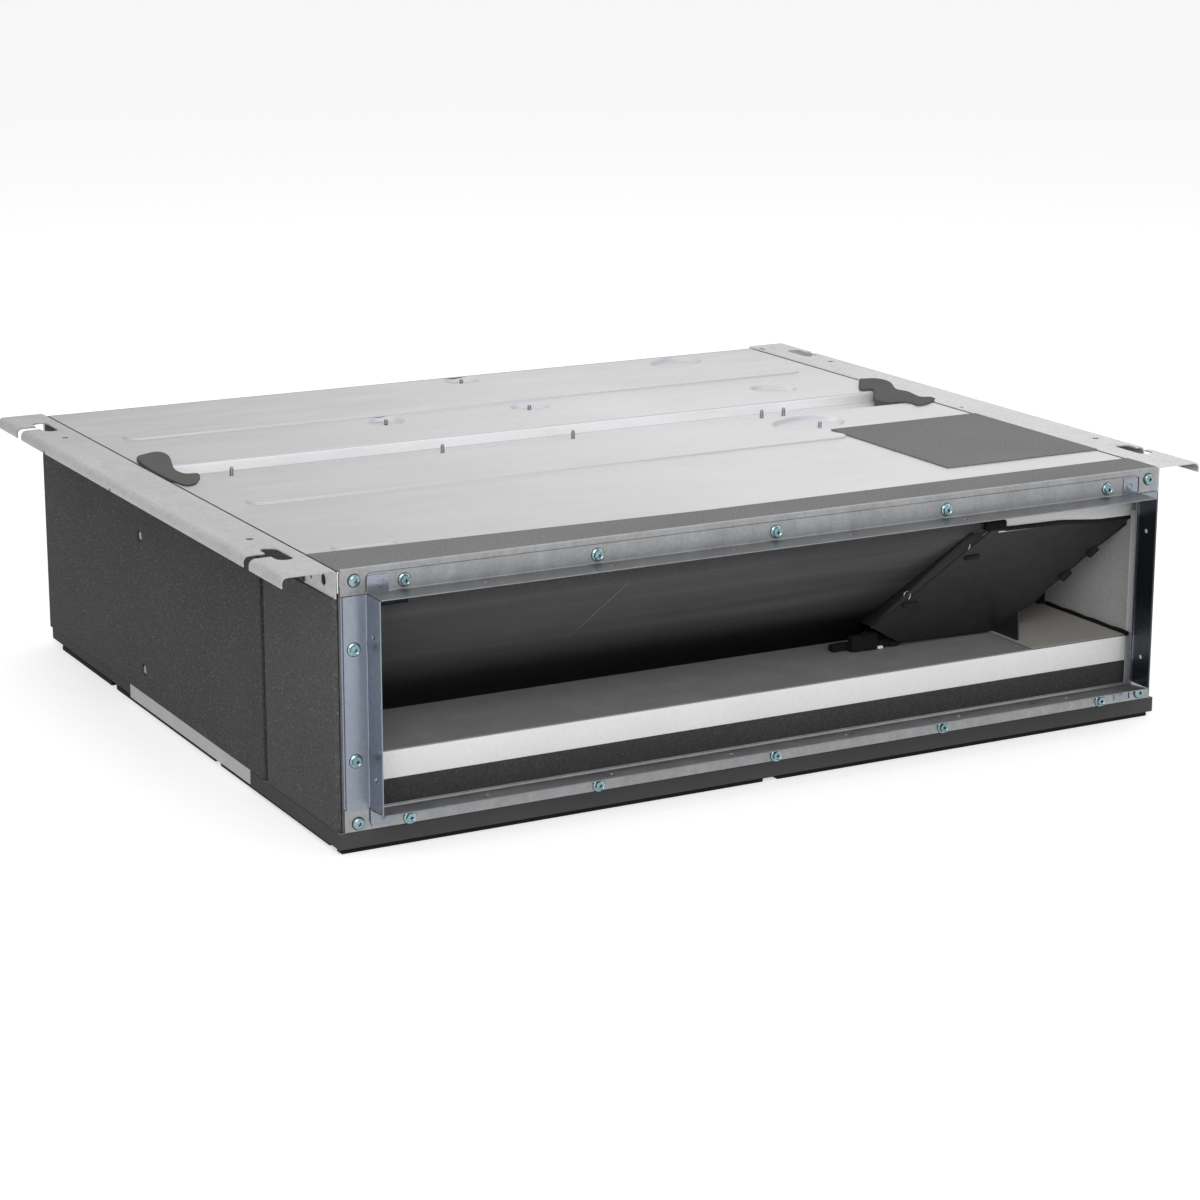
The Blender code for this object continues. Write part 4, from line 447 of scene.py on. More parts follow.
def cells(tree, scale, output="Color"):
    return shader_node(tree, "TexVoronoi", {"Scale": scale, "Vector": stretched(tree, EVEN)}).outputs[output]


def ramp(tree, factor, dark, light, low=0.3, high=0.7):
    """A colour that runs from dark to light as a factor rises from low to high."""
    made = shader_node(tree, "ValToRGB", {"Fac": factor})
    for element, place, colour in zip(made.color_ramp.elements, (low, high), (dark, light)):
        element.position = place
        element.color = colour
    return made.outputs["Color"]


def greys(tree, factor, dark, light, low=0.3, high=0.7):
    return ramp(tree, factor, grey(dark), grey(light), low, high)


def mixed(tree, first, second, mode="MULTIPLY", factor=1.0):
    """Two colours, mixed by a factor."""
    made = tree.nodes.new("ShaderNodeMix")
    made.data_type = "RGBA"
    made.blend_type = mode
    return feed(tree, made, {"Factor": factor, MIX_FIRST: first, MIX_SECOND: second}).outputs[MIX_RESULT]


def relief(tree, shader, height, depth, strength):
    """A bump of a given depth in metres."""
    made = shader_node(tree, "Bump", {"Distance": depth, "Strength": strength, "Height": height})
    feed(tree, shader, {"Normal": made.outputs["Normal"]})


def rise(tree, source, axis, low, high):
    """A value that goes from nought to one between two values of a coordinate on one axis."""
    vector = tree.nodes.new("ShaderNodeTexCoord").outputs[source]
    value = shader_node(tree, "SeparateXYZ", {"Vector": vector}).outputs[axis]
    inputs = {"From Min": low, "From Max": high, "Value": value}
    return shader_node(tree, "MapRange", inputs).outputs["Result"]


def across(tree, axis, low, high, dark, light=1.0):
    """A grey that runs from dark to light between two places on an axis."""
    return greys(tree, rise(tree, "Object", axis, low, high), dark, light, 0.0, 1.0)


def leg_shade(tree, left, right):
    """White on a flange's face, and a painted grey on the leg that stands out from it: painted shade of the
    opening, and on the right a painted reflection of the dark interior.
    """
    leg = across(tree, "X", *LEG_PAINTED_SHADE_X, left, right)
    return mixed(tree, leg, WHITE, "MIX", rise(tree, "Object", "Y", LEG_START - LEG_FADE, LEG_START))


def facing_shade(tree, colour, painted_tones):
    """Painted light and shade by the way a face turns: tones for slopes that face the outlet, a painted
    highlight on walls that face it, painted shade on slopes that face away.
    """
    for (low, high), painted_tone in zip(FACINGS, painted_tones):
        colour = mixed(tree, colour, tone(*painted_tone), "MIX", rise(tree, "Normal", "Y", low, high))
    return colour


def galvanised_sheet(
    name, base, roughness, streak, streak_share, metallic=0.85, speckle=0.94, left=1.0, legs=(), painted_tones=()
):
    """Zinc-coated sheet: soft clouds, small spangles, fine grain and streaks from the coating line, and where
    asked painted shade towards the left and rear, on each angle's leg, and painted light and shade by the way
    a face turns.
    """
    material, tree, shader = start_finish(name, base, roughness, metallic)
    clouds = ramp(tree, noise(tree, 7.0, 4.0), scaled(base, 0.93), base, 0.25, 0.75)
    spangles = greys(tree, cells(tree, 260.0), 1.0 - 0.7 * (1.0 - speckle), 1.0, 0.2, 0.8)
    streaks = greys(tree, noise(tree, 60.0, 5.0, streak), 1.0 - streak_share, 1.0)
    grain = greys(tree, noise(tree, 1000.0, 2.0), speckle, 1.0, 0.35, 0.65)
    colour = mixed(tree, mixed(tree, mixed(tree, clouds, spangles), streaks), grain)
    # Painted shade: darker towards the left and towards the rear
    if left < 1.0:
        colour = mixed(tree, colour, across(tree, "X", *ZINC_PAINTED_SHADE_X, left))
        colour = mixed(tree, colour, across(tree, "Y", *ZINC_PAINTED_SHADE_Y, 1.0, ZINC_PAINTED_SHADE_REAR))
    # Painted shade on each leg that stands out into the opening, and on the right a painted reflection of the
    # dark interior
    if legs:
        colour = mixed(tree, colour, leg_shade(tree, *legs))
    # Painted light and shade by the way each face turns
    colour = facing_shade(tree, colour, painted_tones)
    rough = greys(tree, noise(tree, 35.0, 5.0, streak), roughness - 0.06, roughness + 0.10)
    feed(tree, shader, {"Base Color": colour, "Roughness": rough})
    relief(tree, shader, noise(tree, 900.0), 0.00004, 0.5)
    return material


def foam_sheet(name, base, speck, speck_share=0.74, grain_scale=1100.0, grain=0.78):
    """Closed-cell insulation: a fine grain with scattered lighter specks."""
    material, tree, shader = start_finish(name, base, 0.92)
    clouds = ramp(tree, noise(tree, 9.0, 4.0), scaled(base, 0.88), base)
    body = mixed(tree, clouds, greys(tree, noise(tree, grain_scale), grain, 1.0))
    specks = greys(tree, noise(tree, 700.0, 1.0), 0.0, speck, speck_share, speck_share + 0.05)
    feed(tree, shader, {"Specular IOR Level": 0.25, "Base Color": mixed(tree, body, specks, "ADD")})
    relief(tree, shader, noise(tree, grain_scale), 0.0002, 0.6)
    return material


def bead_foam(name, base):
    """Expanded polystyrene: packed beads that show faintly."""
    material, tree, shader = start_finish(name, base, 0.8)
    beads = greys(tree, cells(tree, 300.0, "Distance"), 1.0, 0.96, 0.1, 0.7)
    clouds = ramp(tree, noise(tree, 12.0), scaled(base, 0.95), base)
    feed(tree, shader, {"Specular IOR Level": 0.3, "Base Color": mixed(tree, clouds, beads)})
    relief(tree, shader, cells(tree, 300.0, "Distance"), 0.0003, 0.35)
    return material


def fin_finish(name, base):
    """Coated aluminium fins, with the long faint rubs that handling leaves along the pack's face, darker
    towards the left end, and painted shade that turns them almost black towards their foot.
    """
    material, tree, shader = start_finish(name, base, 0.5, 0.20)
    along_pack = noise(tree, 45.0, 6.0, (0.06, 1.0, 1.0))
    rubs = ramp(tree, along_pack, tone(112, 113, 114), tone(146, 146, 147), 0.3, 0.72)
    fades = greys(tree, noise(tree, 5.0, 2.0), 0.8, 1.0)
    ends = across(tree, "X", -0.42, 0.05, 0.72)
    # Painted shade: almost black towards the pack's foot, deep in the casing
    foot = across(tree, "Z", 0.094, 0.134, 0.01)
    feed(tree, shader, {"Base Color": mixed(tree, mixed(tree, mixed(tree, rubs, fades), ends), foot)})
    return material


def plain_finish(name, base, roughness, metallic, grain_scale, share, foot=(), depth=0.00005):
    """Plastic, paint or bare metal with a slight unevenness of tone, gloss and surface, and where a foot is
    given, painted shade that darkens it towards the bottom.
    """
    material, tree, shader = start_finish(name, base, roughness, metallic)
    colour = ramp(tree, noise(tree, 30.0, 5.0), scaled(base, 1.0 - share), base)
    # Painted shade: darker towards the bottom, between the heights in foot
    if foot:
        colour = mixed(tree, colour, across(tree, "Z", *foot))
    rough = greys(tree, noise(tree, 80.0, 4.0), max(roughness - 0.08, 0.05), roughness + 0.08)
    feed(tree, shader, {"Base Color": colour, "Roughness": rough})
    relief(tree, shader, noise(tree, grain_scale), depth, 0.5)
    return material


# Finishes: slot, material's name, screen tone, and the numbers that its function takes
# Zinc rows: after the sheet's own numbers come the share of painted shade at the left, the painted shade on
# each leg, and the tones painted as light and shade by the way a face turns
ZINC = {
    "panel": (
        "galvanised", "panel_zinc", (222, 222, 223),
        0.36, (0.25, 1.0, 1.0), 0.03, 0.40, 0.96, 0.64, (), PANEL_PAINTED_LIGHT,
    ),
    "rail": ("galvanised_rail", "rail_zinc", (226, 226, 226), 0.40, (1.0, 0.3, 1.0), 0.05, 0.5, 0.84, 0.68),
    "angle": (
        "galvanised", "angle_zinc", (166, 167, 169),
        0.32, (1.0, 1.0, 0.06), 0.14, 0.85, 0.86, 1.0, (0.72, 0.72),
    ),
    "blue_angle": (
        "galvanised", "side_angle_zinc", (148, 155, 167),
        0.22, (1.0, 1.0, 0.2), 0.08, 0.85, 0.92, 1.0, (1.0, 0.22),
    ),
    "inner": ("galvanised", "inner_zinc", (150, 151, 154), 0.45, EVEN, 0.06),
}
FOAM = {
    "insulation": ("side_insulation", "side_insulation_foam", (83, 83, 84), 0.16, 0.66, 480.0, 0.62),
    "front_insulation": ("side_insulation", "front_insulation_foam", (92, 92, 93), 0.15, 0.66, 480.0, 0.62),
    "pan_foam": ("side_insulation", "pan_front_foam", (76, 76, 77), 0.08, 0.70, 600.0, 0.62),
    "tape": ("side_insulation", "rim_tape", (82, 82, 83), 0.03),
    "base": ("base_foam", "base_foam_black", (26, 26, 26), 0.02),
    "felt": ("top_foam", "top_foam_grey", (140, 140, 140), 0.08, 0.68, 480.0, 0.62),
    "seal": ("top_foam", "seal_foam", (100, 100, 99), 0.03, 0.72, 900.0, 0.7),
    "wall": ("lining_foam", "wall_lining_foam", (198, 198, 198), 0.05, 0.7, 500.0, 0.80),
    "sealant": ("base_foam", "black_sealant", (20, 20, 20), 0.01, 0.74, 700.0, 0.6),
}
PLAIN = {
    "screw": ("galvanised", "screw_zinc", (150, 178, 184), 0.16, 1.0, 900.0, 0.35),
    "tip": ("galvanised", "tip_zinc", (158, 161, 163), 0.25, 1.0, 900.0, 0.35),
    "liner": ("lining_foam", "pan_liner_sheet", (144, 144, 144), 0.55, 0.0, 60.0, 0.14, (), 0.0006),
    "side_liner": ("lining_foam", "pan_side_sheet", (174, 171, 166), 0.6, 0.0, 500.0, 0.10),
    "fin_gap": ("coil_fins", "fin_gap_coating", (120, 120, 122), 0.55, 0.1, 600.0, 0.10),
    # The last tuple in the cover's, its side's and the rub's rows is painted shade towards the bottom:
    # heights and share
    "cover": ("black_plastic", "cover_plastic", (45, 45, 46), 0.5, 0.0, 600.0, 0.12, (0.085, 0.17, 0.45)),
    "strip": (
        "black_plastic", "cover_side_plastic", (74, 73, 71), 0.45, 0.0, 600.0, 0.12, (0.085, 0.17, 0.40),
    ),
    # Near black: the cover's rims and clips, foam at a leg's end, and pieces that are painted shade under
    # screw heads, in the rails' holes, slots, keyholes and joints, and at a tab's joint
    "rim": ("black_plastic", "cover_rim_plastic", (6, 6, 6), 0.9, 0.0, 600.0, 0.12),
    "rub": ("coil_fins", "fin_rub", (152, 152, 154), 0.5, 0.1, 400.0, 0.12, (0.10, 0.15, 0.1)),
    "wire": ("shaft_steel", "hook_wire", (170, 170, 171), 0.4, 0.9, 900.0, 0.15),
    "housing": ("black_plastic", "housing_plastic", (44, 44, 45), 0.45, 0.0, 600.0, 0.12),
    "wheel": ("grey_plastic", "wheel_plastic", (120, 120, 122), 0.45, 0.0, 600.0, 0.08),
    "drain": ("grey_plastic", "drain_plastic", (150, 150, 152), 0.45, 0.0, 600.0, 0.08),
    "copper": ("copper", "copper_tube", (202, 134, 104), 0.28, 1.0, 300.0, 0.30),
    "brass": ("flare_brass", "nut_brass", (206, 178, 112), 0.28, 1.0, 300.0, 0.20),
    "steel": ("shaft_steel", "shaft_steel", (190, 190, 192), 0.25, 1.0, 300.0, 0.15),
    "motor": ("motor_paint", "motor_paint", (58, 58, 60), 0.38, 0.2, 500.0, 0.12),
}
FINISHES = {}
for make, rows in (
    (galvanised_sheet, ZINC),
    (foam_sheet, FOAM),
    (plain_finish, PLAIN),
    (bead_foam, {"white": ("white_foam", "white_bead_foam", (250, 250, 250))}),
    (fin_finish, {"fins": ("coil_fins", "fin_coating", (150, 150, 152))}),
):
    for key, (slot, material_name, base_tone, *numbers) in rows.items():
        FINISHES[key] = (make(material_name, tone(*base_tone), *numbers), slot)


def linked(name, data):
    """A new object in the scene."""
    item = bpy.data.objects.new(name, data)
    bpy.context.scene.collection.objects.link(item)
    return item


def to_mesh(shape, name):
    """A new mesh in place of a bmesh."""
    mesh = bpy.data.meshes.new(name)
    shape.to_mesh(mesh)
    shape.free()
    return mesh


def piece(name, shape, finish, body="casing", stands_for=(), smooth=SMOOTH, edge=0.0):
    """Turn a bmesh into a finished piece that rides on a body."""
    material, slot = FINISHES[finish]
    mesh = to_mesh(shape, name)
    mesh.materials.append(material)
    mesh.shade_smooth()
    mesh.set_sharp_from_angle(angle=math.radians(smooth))
    item = linked(name, mesh)
    if edge:
        soften(item, edge)
    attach(item, body)
    if stands_for:
        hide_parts(*stands_for)
    return item


def soften(item, width, segments=2, angle=32.0):
    """Round the edges of a piece."""
    modifier = item.modifiers.new("edges", "BEVEL")
    modifier.width = width
    modifier.segments = segments
    modifier.limit_method = "ANGLE"
    modifier.angle_limit = math.radians(angle)
    modifier.harden_normals = True


def block(shape, low, high):
    """Add a box between two corners."""
    low = Vector(low)
    high = Vector(high)
    made = bmesh.ops.create_cube(shape, size=1.0)
    bmesh.ops.scale(shape, verts=made["verts"], vec=high - low)
    bmesh.ops.translate(shape, verts=made["verts"], vec=(low + high) / 2)
    return made["verts"]


def facing(direction):
    """The rotation that lays +Z along a direction."""
    return Vector(direction).to_track_quat("Z", "Y").to_matrix().to_4x4()


def rod(shape, start, end, radius, tip=None, steps=16):
    """Add a cylinder or cone between two points."""
    start = Vector(start)
    end = Vector(end)
    made = bmesh.ops.create_cone(
        shape,
        cap_ends=True,
        segments=steps,
        radius1=radius,
        radius2=radius if tip is None else tip,
        depth=(end - start).length,
    )
    place = Matrix.Translation((start + end) / 2) @ facing(end - start)
    bmesh.ops.transform(shape, verts=made["verts"], matrix=place)
    return made["verts"]


def turned(profile, steps=24):
    """A profile of (radius, height) points spun round Z."""
    shape = bmesh.new()
    verts = [shape.verts.new((radius, 0.0, height)) for radius, height in profile]
    edges = [shape.edges.new(pair) for pair in zip(verts, verts[1:])]
    bmesh.ops.spin(
        shape, geom=verts + edges, axis=(0, 0, 1), cent=(0, 0, 0), steps=steps, angle=math.tau, use_merge=True
    )
    bmesh.ops.remove_doubles(shape, verts=shape.verts, dist=WELD / 4)
    bmesh.ops.recalc_face_normals(shape, faces=shape.faces)
    return shape


def drawn(outline, axis, low, high, closed=True):
    """A flat outline drawn out along an axis, as a solid or, if it is open, as a surface."""
    shape = bmesh.new()
    order = {"X": (2, 0, 1), "Y": (0, 2, 1), "Z": (0, 1, 2)}[axis]
    ring = []
    for first, second in outline:
        values = (first, second, low)
        ring.append(shape.verts.new([values[i] for i in order]))
    step = Vector([(0.0, 0.0, high - low)[i] for i in order])
    if closed:
        made = bmesh.ops.extrude_face_region(shape, geom=[shape.faces.new(ring)])
    else:
        edges = [shape.edges.new(pair) for pair in zip(ring, ring[1:])]
        made = bmesh.ops.extrude_edge_only(shape, edges=edges)
    moved = [each for each in made["geom"] if isinstance(each, bmesh.types.BMVert)]
    bmesh.ops.translate(shape, verts=moved, vec=step)
    bmesh.ops.recalc_face_normals(shape, faces=shape.faces)
    return shape


def evaluated(shape, prepare):
    """A bmesh after the modifiers that a function puts on its object."""
    item = linked("blank", to_mesh(shape, "blank"))
    prepare(item)
    graph = bpy.context.evaluated_depsgraph_get()
    result = bmesh.new()
    result.from_mesh(bpy.data.meshes.new_from_object(item.evaluated_get(graph)))
    bpy.data.objects.remove(item)
    return result


def thick(shape, thickness):
    """A surface made a sheet, half its thickness on each side."""

    def prepare(item):
        modifier = item.modifiers.new("sheet", "SOLIDIFY")
        modifier.thickness = thickness
        modifier.offset = 0.0
        modifier.use_even_offset = True

    return evaluated(shape, prepare)


def carved(shape, tool, operation="DIFFERENCE"):
    """A bmesh with another cut from it or joined to it."""
    cutter = linked("tool", to_mesh(tool, "tool"))

    def prepare(item):
        modifier = item.modifiers.new("carve", "BOOLEAN")
        modifier.operation = operation
        modifier.solver = "EXACT"
        modifier.object = cutter

    result = evaluated(shape, prepare)
    bpy.data.objects.remove(cutter)
    return result


def merge(shape, part):
    """Move a bmesh into another."""
    mesh = to_mesh(part, "part")
    shape.from_mesh(mesh)
    bpy.data.meshes.remove(mesh)


def copies(template, places):
    """The template at each place: a point, the direction its +Z takes and a turn about it in degrees."""
    mesh = to_mesh(template, "template")
    shape = bmesh.new()
    for point, direction, turn in places:
        before = len(shape.verts)
        shape.from_mesh(mesh)
        shape.verts.ensure_lookup_table()
        place = Matrix.Translation(point) @ facing(direction) @ Matrix.Rotation(math.radians(turn), 4, "Z")
        bmesh.ops.transform(shape, verts=shape.verts[before:], matrix=place)
    return shape


def arc(centre, radius, start, end, steps):
    """Points on an arc, with its angles in degrees."""
    points = []
    for i in range(steps + 1):
        angle = math.radians(start + (end - start) * i / steps)
        points.append((centre[0] + radius * math.cos(angle), centre[1] + radius * math.sin(angle)))
    return points


def whole(node):
    """A copy of a CAD node with its loose triangles merged into plain faces."""
    shape = bmesh.new()
    shape.from_mesh(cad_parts[node].data)
    bmesh.ops.remove_doubles(shape, verts=shape.verts, dist=WELD)
    bmesh.ops.dissolve_limit(shape, angle_limit=math.radians(0.5), verts=shape.verts, edges=shape.edges)
    return shape


def dress(node, finish, edge, body="casing", smooth=SMOOTH, shape=None):
    """Stand for a CAD node with its copy, or a carved one, that has rounded edges and its finish."""
    shape = whole(node) if shape is None else shape
    item = piece(f"{node}_finished", shape, finish, body, [node], smooth)
    if edge:
        soften(item, edge, angle=smooth)


def with_recess(shape, height):
    """A screw head with the driver's cross sunk in its top."""
    half = (RECESS_LENGTH / 2, RECESS_WIDTH / 2)
    for turn in (0, 90):
        tool = bmesh.new()
        verts = block(tool, (-half[0], -half[1], height - RECESS_DEPTH), (*half, height + RECESS_DEPTH))
        low = [vert for vert in verts if vert.co.z < height]
        bmesh.ops.scale(tool, verts=low, vec=(0.45, 0.7, 1.0))
        matrix = Matrix.Rotation(math.radians(turn), 3, "Z")
        bmesh.ops.rotate(tool, verts=verts, cent=(0, 0, 0), matrix=matrix)
        shape = carved(shape, tool)
    return shape


def pan_head():
    """A pan head with a driver's cross."""
    dome = [(0.0, 0.0), (PAN_RADIUS, 0.0), (PAN_RADIUS, PAN_HEIGHT * 0.35)]
    for i in range(1, 6):
        angle = math.radians(90 * i / 6)
        height = PAN_HEIGHT * (0.35 + 0.6 * math.sin(angle))
        dome.append((PAN_RADIUS * (0.45 + 0.55 * math.cos(angle)), height))
    dome += [(PAN_RADIUS * 0.4, PAN_HEIGHT), (0.0, PAN_HEIGHT)]
    return with_recess(turned(dome, 28), PAN_HEIGHT)


def hex_head():
    """A hexagon head on its own washer flange, dished on top, with a driver's cross."""
    rim = [(HEX_FLANGE, 0.0), (HEX_FLANGE, HEX_FLANGE_EDGE), (HEX_RADIUS, HEX_FLANGE_TOP)]
    flange = turned([(0.0, 0.0), *rim, (0.0, HEX_FLANGE_TOP)], 28)
    hexagon = bmesh.new()
    rod(hexagon, (0, 0, HEX_DISH), (0, 0, HEX_HEIGHT), HEX_RADIUS, steps=6)
    shape = carved(flange, hexagon, "UNION")
    low = HEX_HEIGHT - HEX_DISH
    dish = bmesh.new()
    rod(dish, (0, 0, low), (0, 0, HEX_HEIGHT + HEX_DISH), HEX_RADIUS * 0.62, HEX_RADIUS * 0.85, 24)
    return with_recess(carved(shape, dish), low)


def threaded_tip(length):
    """The end of a tapping screw: a thread round a shank that narrows to its point."""
    profile = [(0.0, 0.0)]
    turns = int(length / TIP_PITCH)
    for i in range(turns):
        low = i * TIP_PITCH
        fade = 1.0 if low < length * 0.7 else 0.75
        profile.append(((TIP_RADIUS - TIP_THREAD) * fade, low + 0.1 * TIP_PITCH))
        profile.append((TIP_RADIUS * fade, low + 0.5 * TIP_PITCH))
        profile.append(((TIP_RADIUS - TIP_THREAD) * fade, low + 0.9 * TIP_PITCH))
    profile.append((0.0, length))
    return turned(profile, 14)


def ring(shape, points, height):
    """Vertices of a closed outline at one height."""
    return [shape.verts.new((x, y, height)) for x, y in points]


def ring_edges(shape, verts):
    edges = []
    for first, second in zip(verts, verts[1:] + verts[:1]):
        edge = shape.edges.get((first, second))
        edges.append(edge if edge else shape.edges.new((first, second)))
    return edges


def stadium(left, right, y, width):
    """Outline of a bead with round ends, as a function of the way in from its foot."""
    reach = width / 2

    def at(inset):
        points = arc((right - reach, y), reach - inset, -90.0, 90.0, 14)
        return points + arc((left + reach, y), reach - inset, 90.0, 270.0, 14)

    return at


def lobed(x, y, radius, share, turn):
    """Outline of a dish that is longer along one axis, as a function of the way in from its edge."""

    def at(inset):
        points = []
        for i in range(DISH_STEPS):
            angle = math.tau * i / DISH_STEPS
            reach = radius * (1.0 + share * math.cos(2.0 * (angle - math.radians(turn)))) - inset
            points.append((x + reach * math.cos(angle), y + reach * math.sin(angle)))
        return points

    return at


def bridge(shape, outer, inner):
    """Faces between two closed rings of vertices."""
    count = len(outer)
    for i in range(count):
        after = (i + 1) % count
        shape.faces.new((outer[i], outer[after], inner[after], inner[i]))


def pressed(shape, outline, rise, slope, level):
    """A form pressed in a sheet, between a flat ring round its foot and its flat middle."""
    rings = [ring(shape, outline(-PANEL_GUARD), level)]
    for i in range(PRESS_STEPS + 1):
        share = i / PRESS_STEPS
        rings.append(ring(shape, outline(slope * share), level + rise * share * share * (3.0 - 2.0 * share)))
    rings.append(ring(shape, outline(slope + PANEL_GUARD), level + rise))
    for outer, inner in zip(rings, rings[1:]):
        bridge(shape, outer, inner)
    shape.faces.new(rings[-1])
    return ring_edges(shape, rings[0])


def bent(radius, total):
    """Way out and way down along an edge folded down."""
    path = []
    for i in range(1, BEND_STEPS + 1):
        angle = math.radians(90.0 * i / BEND_STEPS)
        path.append((radius * math.sin(angle), radius * (1.0 - math.cos(angle))))
    return path + [(radius, total)]


def skirt(shape, first, second, outward, path):
    """Strips that carry an edge of a sheet on along a path of ways out and down."""
    start = first.co.copy()
    stop = second.co.copy()
    for out, down in path:
        step = Vector((outward[0] * out, outward[1] * out, -down))
        next_first = shape.verts.new(start + step)
        next_second = shape.verts.new(stop + step)
        shape.faces.new((first, second, next_second, next_first))
        first = next_first
        second = next_second


def make_top_panel(name, front, rear, forms, front_path, rear_path):
    """A top panel with its pressed forms, its folded edges and the walls of the trough."""
    level = PANEL_TOP - SHEET / 2
    x = PANEL_HALF - PANEL_BEND
    front += PANEL_BEND
    rear -= PANEL_BEND
    guard = PANEL_GUARD
    shape = bmesh.new()
    outer = ring(shape, ((-x, front), (x, front), (x, rear), (-x, rear)), level)
    x -= guard
    front += guard
    rear -= guard
    inner = ring(shape, ((-x, front), (x, front), (x, rear), (-x, rear)), level)
    bridge(shape, outer, inner)
    edges = ring_edges(shape, inner)
    for outline, rise_by, slope in forms:
        edges += pressed(shape, outline, rise_by, slope, level)
    bmesh.ops.triangle_fill(shape, use_beauty=True, edges=edges, normal=(0.0, 0.0, 1.0))
    side_path = bent(PANEL_BEND, SIDE_DROP)
    skirt(shape, outer[0], outer[1], (0.0, -1.0), front_path)
    skirt(shape, outer[1], outer[2], (1.0, 0.0), side_path)
    skirt(shape, outer[2], outer[3], (0.0, 1.0), rear_path)
    skirt(shape, outer[3], outer[0], (-1.0, 0.0), side_path)
    bmesh.ops.recalc_face_normals(shape, faces=shape.faces)
    piece(f"{name}_pressed", thick(shape, SHEET), "panel", stands_for=[name])


def panel_forms(ribs, dishes):
    """Outline, rise and width of slope of each form in a top panel."""
    forms = [(stadium(*rib), RIB_RISE, RIB_SLOPE) for rib in ribs]
    return forms + [(lobed(*dish), -DISH_DEPTH, DISH_SLOPE) for dish in dishes]


def make_top_panels():
    """Front and rear top panels; the front one carries the trough's front wall and floor."""
    bend = PANEL_BEND
    drop = PANEL_TOP - TROUGH_TOP
    trough = bent(bend, drop - bend)
    for i in range(1, BEND_STEPS + 1):
        angle = math.radians(90.0 * i / BEND_STEPS)
        trough.append((2 * bend - bend * math.cos(angle), drop - bend + bend * math.sin(angle)))
    trough.append((TROUGH_REAR - TROUGH_GAP - TROUGH_FRONT + bend, drop))
    end = bent(bend, END_DROP)
    forms = panel_forms(FRONT_RIBS, FRONT_DISHES)
    make_top_panel("top_panel_front", PANEL_FRONT_EDGE, TROUGH_FRONT, forms, end, trough)
    forms = panel_forms(REAR_RIBS, REAR_DISHES)
    wall = bent(bend, drop + SHEET / 2)
    make_top_panel("top_panel_rear", TROUGH_REAR + SHEET / 2, PANEL_REAR_EDGE, forms, wall, end)


def smooth_outline(points):
    """A closed curve through points."""
    count = len(points)
    curve = []
    for i in range(count):
        before, start, stop, after = [Vector(points[(i + step) % count]) for step in (-1, 0, 1, 2)]
        second = 2.0 * before - 5.0 * start + 4.0 * stop - after
        third = 3.0 * start - before - 3.0 * stop + after
        for k in range(SEAL_STEPS):
            t = k / SEAL_STEPS
            curve.append(0.5 * (2.0 * start + (stop - before) * t + second * t * t + third * t * t * t))
    return curve


def make_seals():
    """Humped lumps of foam that close the trough's ends and lap over the panels' edges."""
    low = TROUGH_TOP + TROUGH_GAP
    lap = PANEL_TOP + TROUGH_GAP
    for side, outline in SEAL_OUTLINES.items():
        shape = bmesh.new()
        points = smooth_outline([(x / 1000.0, FRONT + y / 1000.0) for x, y in outline])
        face = shape.faces.new(ring(shape, [tuple(point) for point in points], low))
        made = bmesh.ops.extrude_face_region(shape, geom=[face])
        for each in made["geom"]:
            if isinstance(each, bmesh.types.BMVert):
                hump = SEAL_HUMP * math.exp(-(((each.co.y - SEAL_HUMP_Y) / SEAL_HUMP_LENGTH) ** 2))
                each.co.z = PANEL_TOP + SEAL_CROWN + hump
        bmesh.ops.recalc_face_normals(shape, faces=shape.faces)
        for front, rear in (
            (TROUGH_FRONT - 0.1, TROUGH_FRONT + SHEET),
            (TROUGH_REAR - TROUGH_GAP, TROUGH_REAR + 0.1),
        ):
            tool = bmesh.new()
            block(tool, (-0.5, front, 0.2), (0.5, rear, lap))
            shape = carved(shape, tool)
        name = f"trough_seal_{side}"
        item = piece(f"{name}_hump", shape, "seal", stands_for=[name], smooth=BEAD_SMOOTH)
        soften(item, SEAL_EDGE, 4, 50.0)


def on_cover(x, down, proud=0.0):
    """A point on the slanted cover: x and way down in mm, and how far it stands off in metres."""
    y = COVER_START[0] + COVER_SLOPE[0] * down / 1000.0 + COVER_SLOPE[1] * proud
    z = COVER_START[1] + COVER_SLOPE[1] * down / 1000.0 + COVER_SLOPE[0] * proud
    return Vector((x / 1000.0, y, z))


def beaded(points, radius, steps=8):
    """A round bead along a chain of points."""
    shape = bmesh.new()
    for start, end in zip(points, points[1:]):
        rod(shape, start, end, radius, steps=steps)
    for point in points:
        made = bmesh.ops.create_icosphere(shape, subdivisions=1, radius=radius)
        bmesh.ops.translate(shape, verts=made["verts"], vec=point)
    return shape


def make_boxes(*names):
    """Pieces made of plain boxes, by their rows in the table."""
    for name in names:
        finish, edge, *rows = BOXES[name]
        shape = bmesh.new()
        for row in rows:
            places = [value / 1000.0 for value in row]
            block(shape, places[:3], places[3:])
        piece(name, shape, finish, edge=edge)


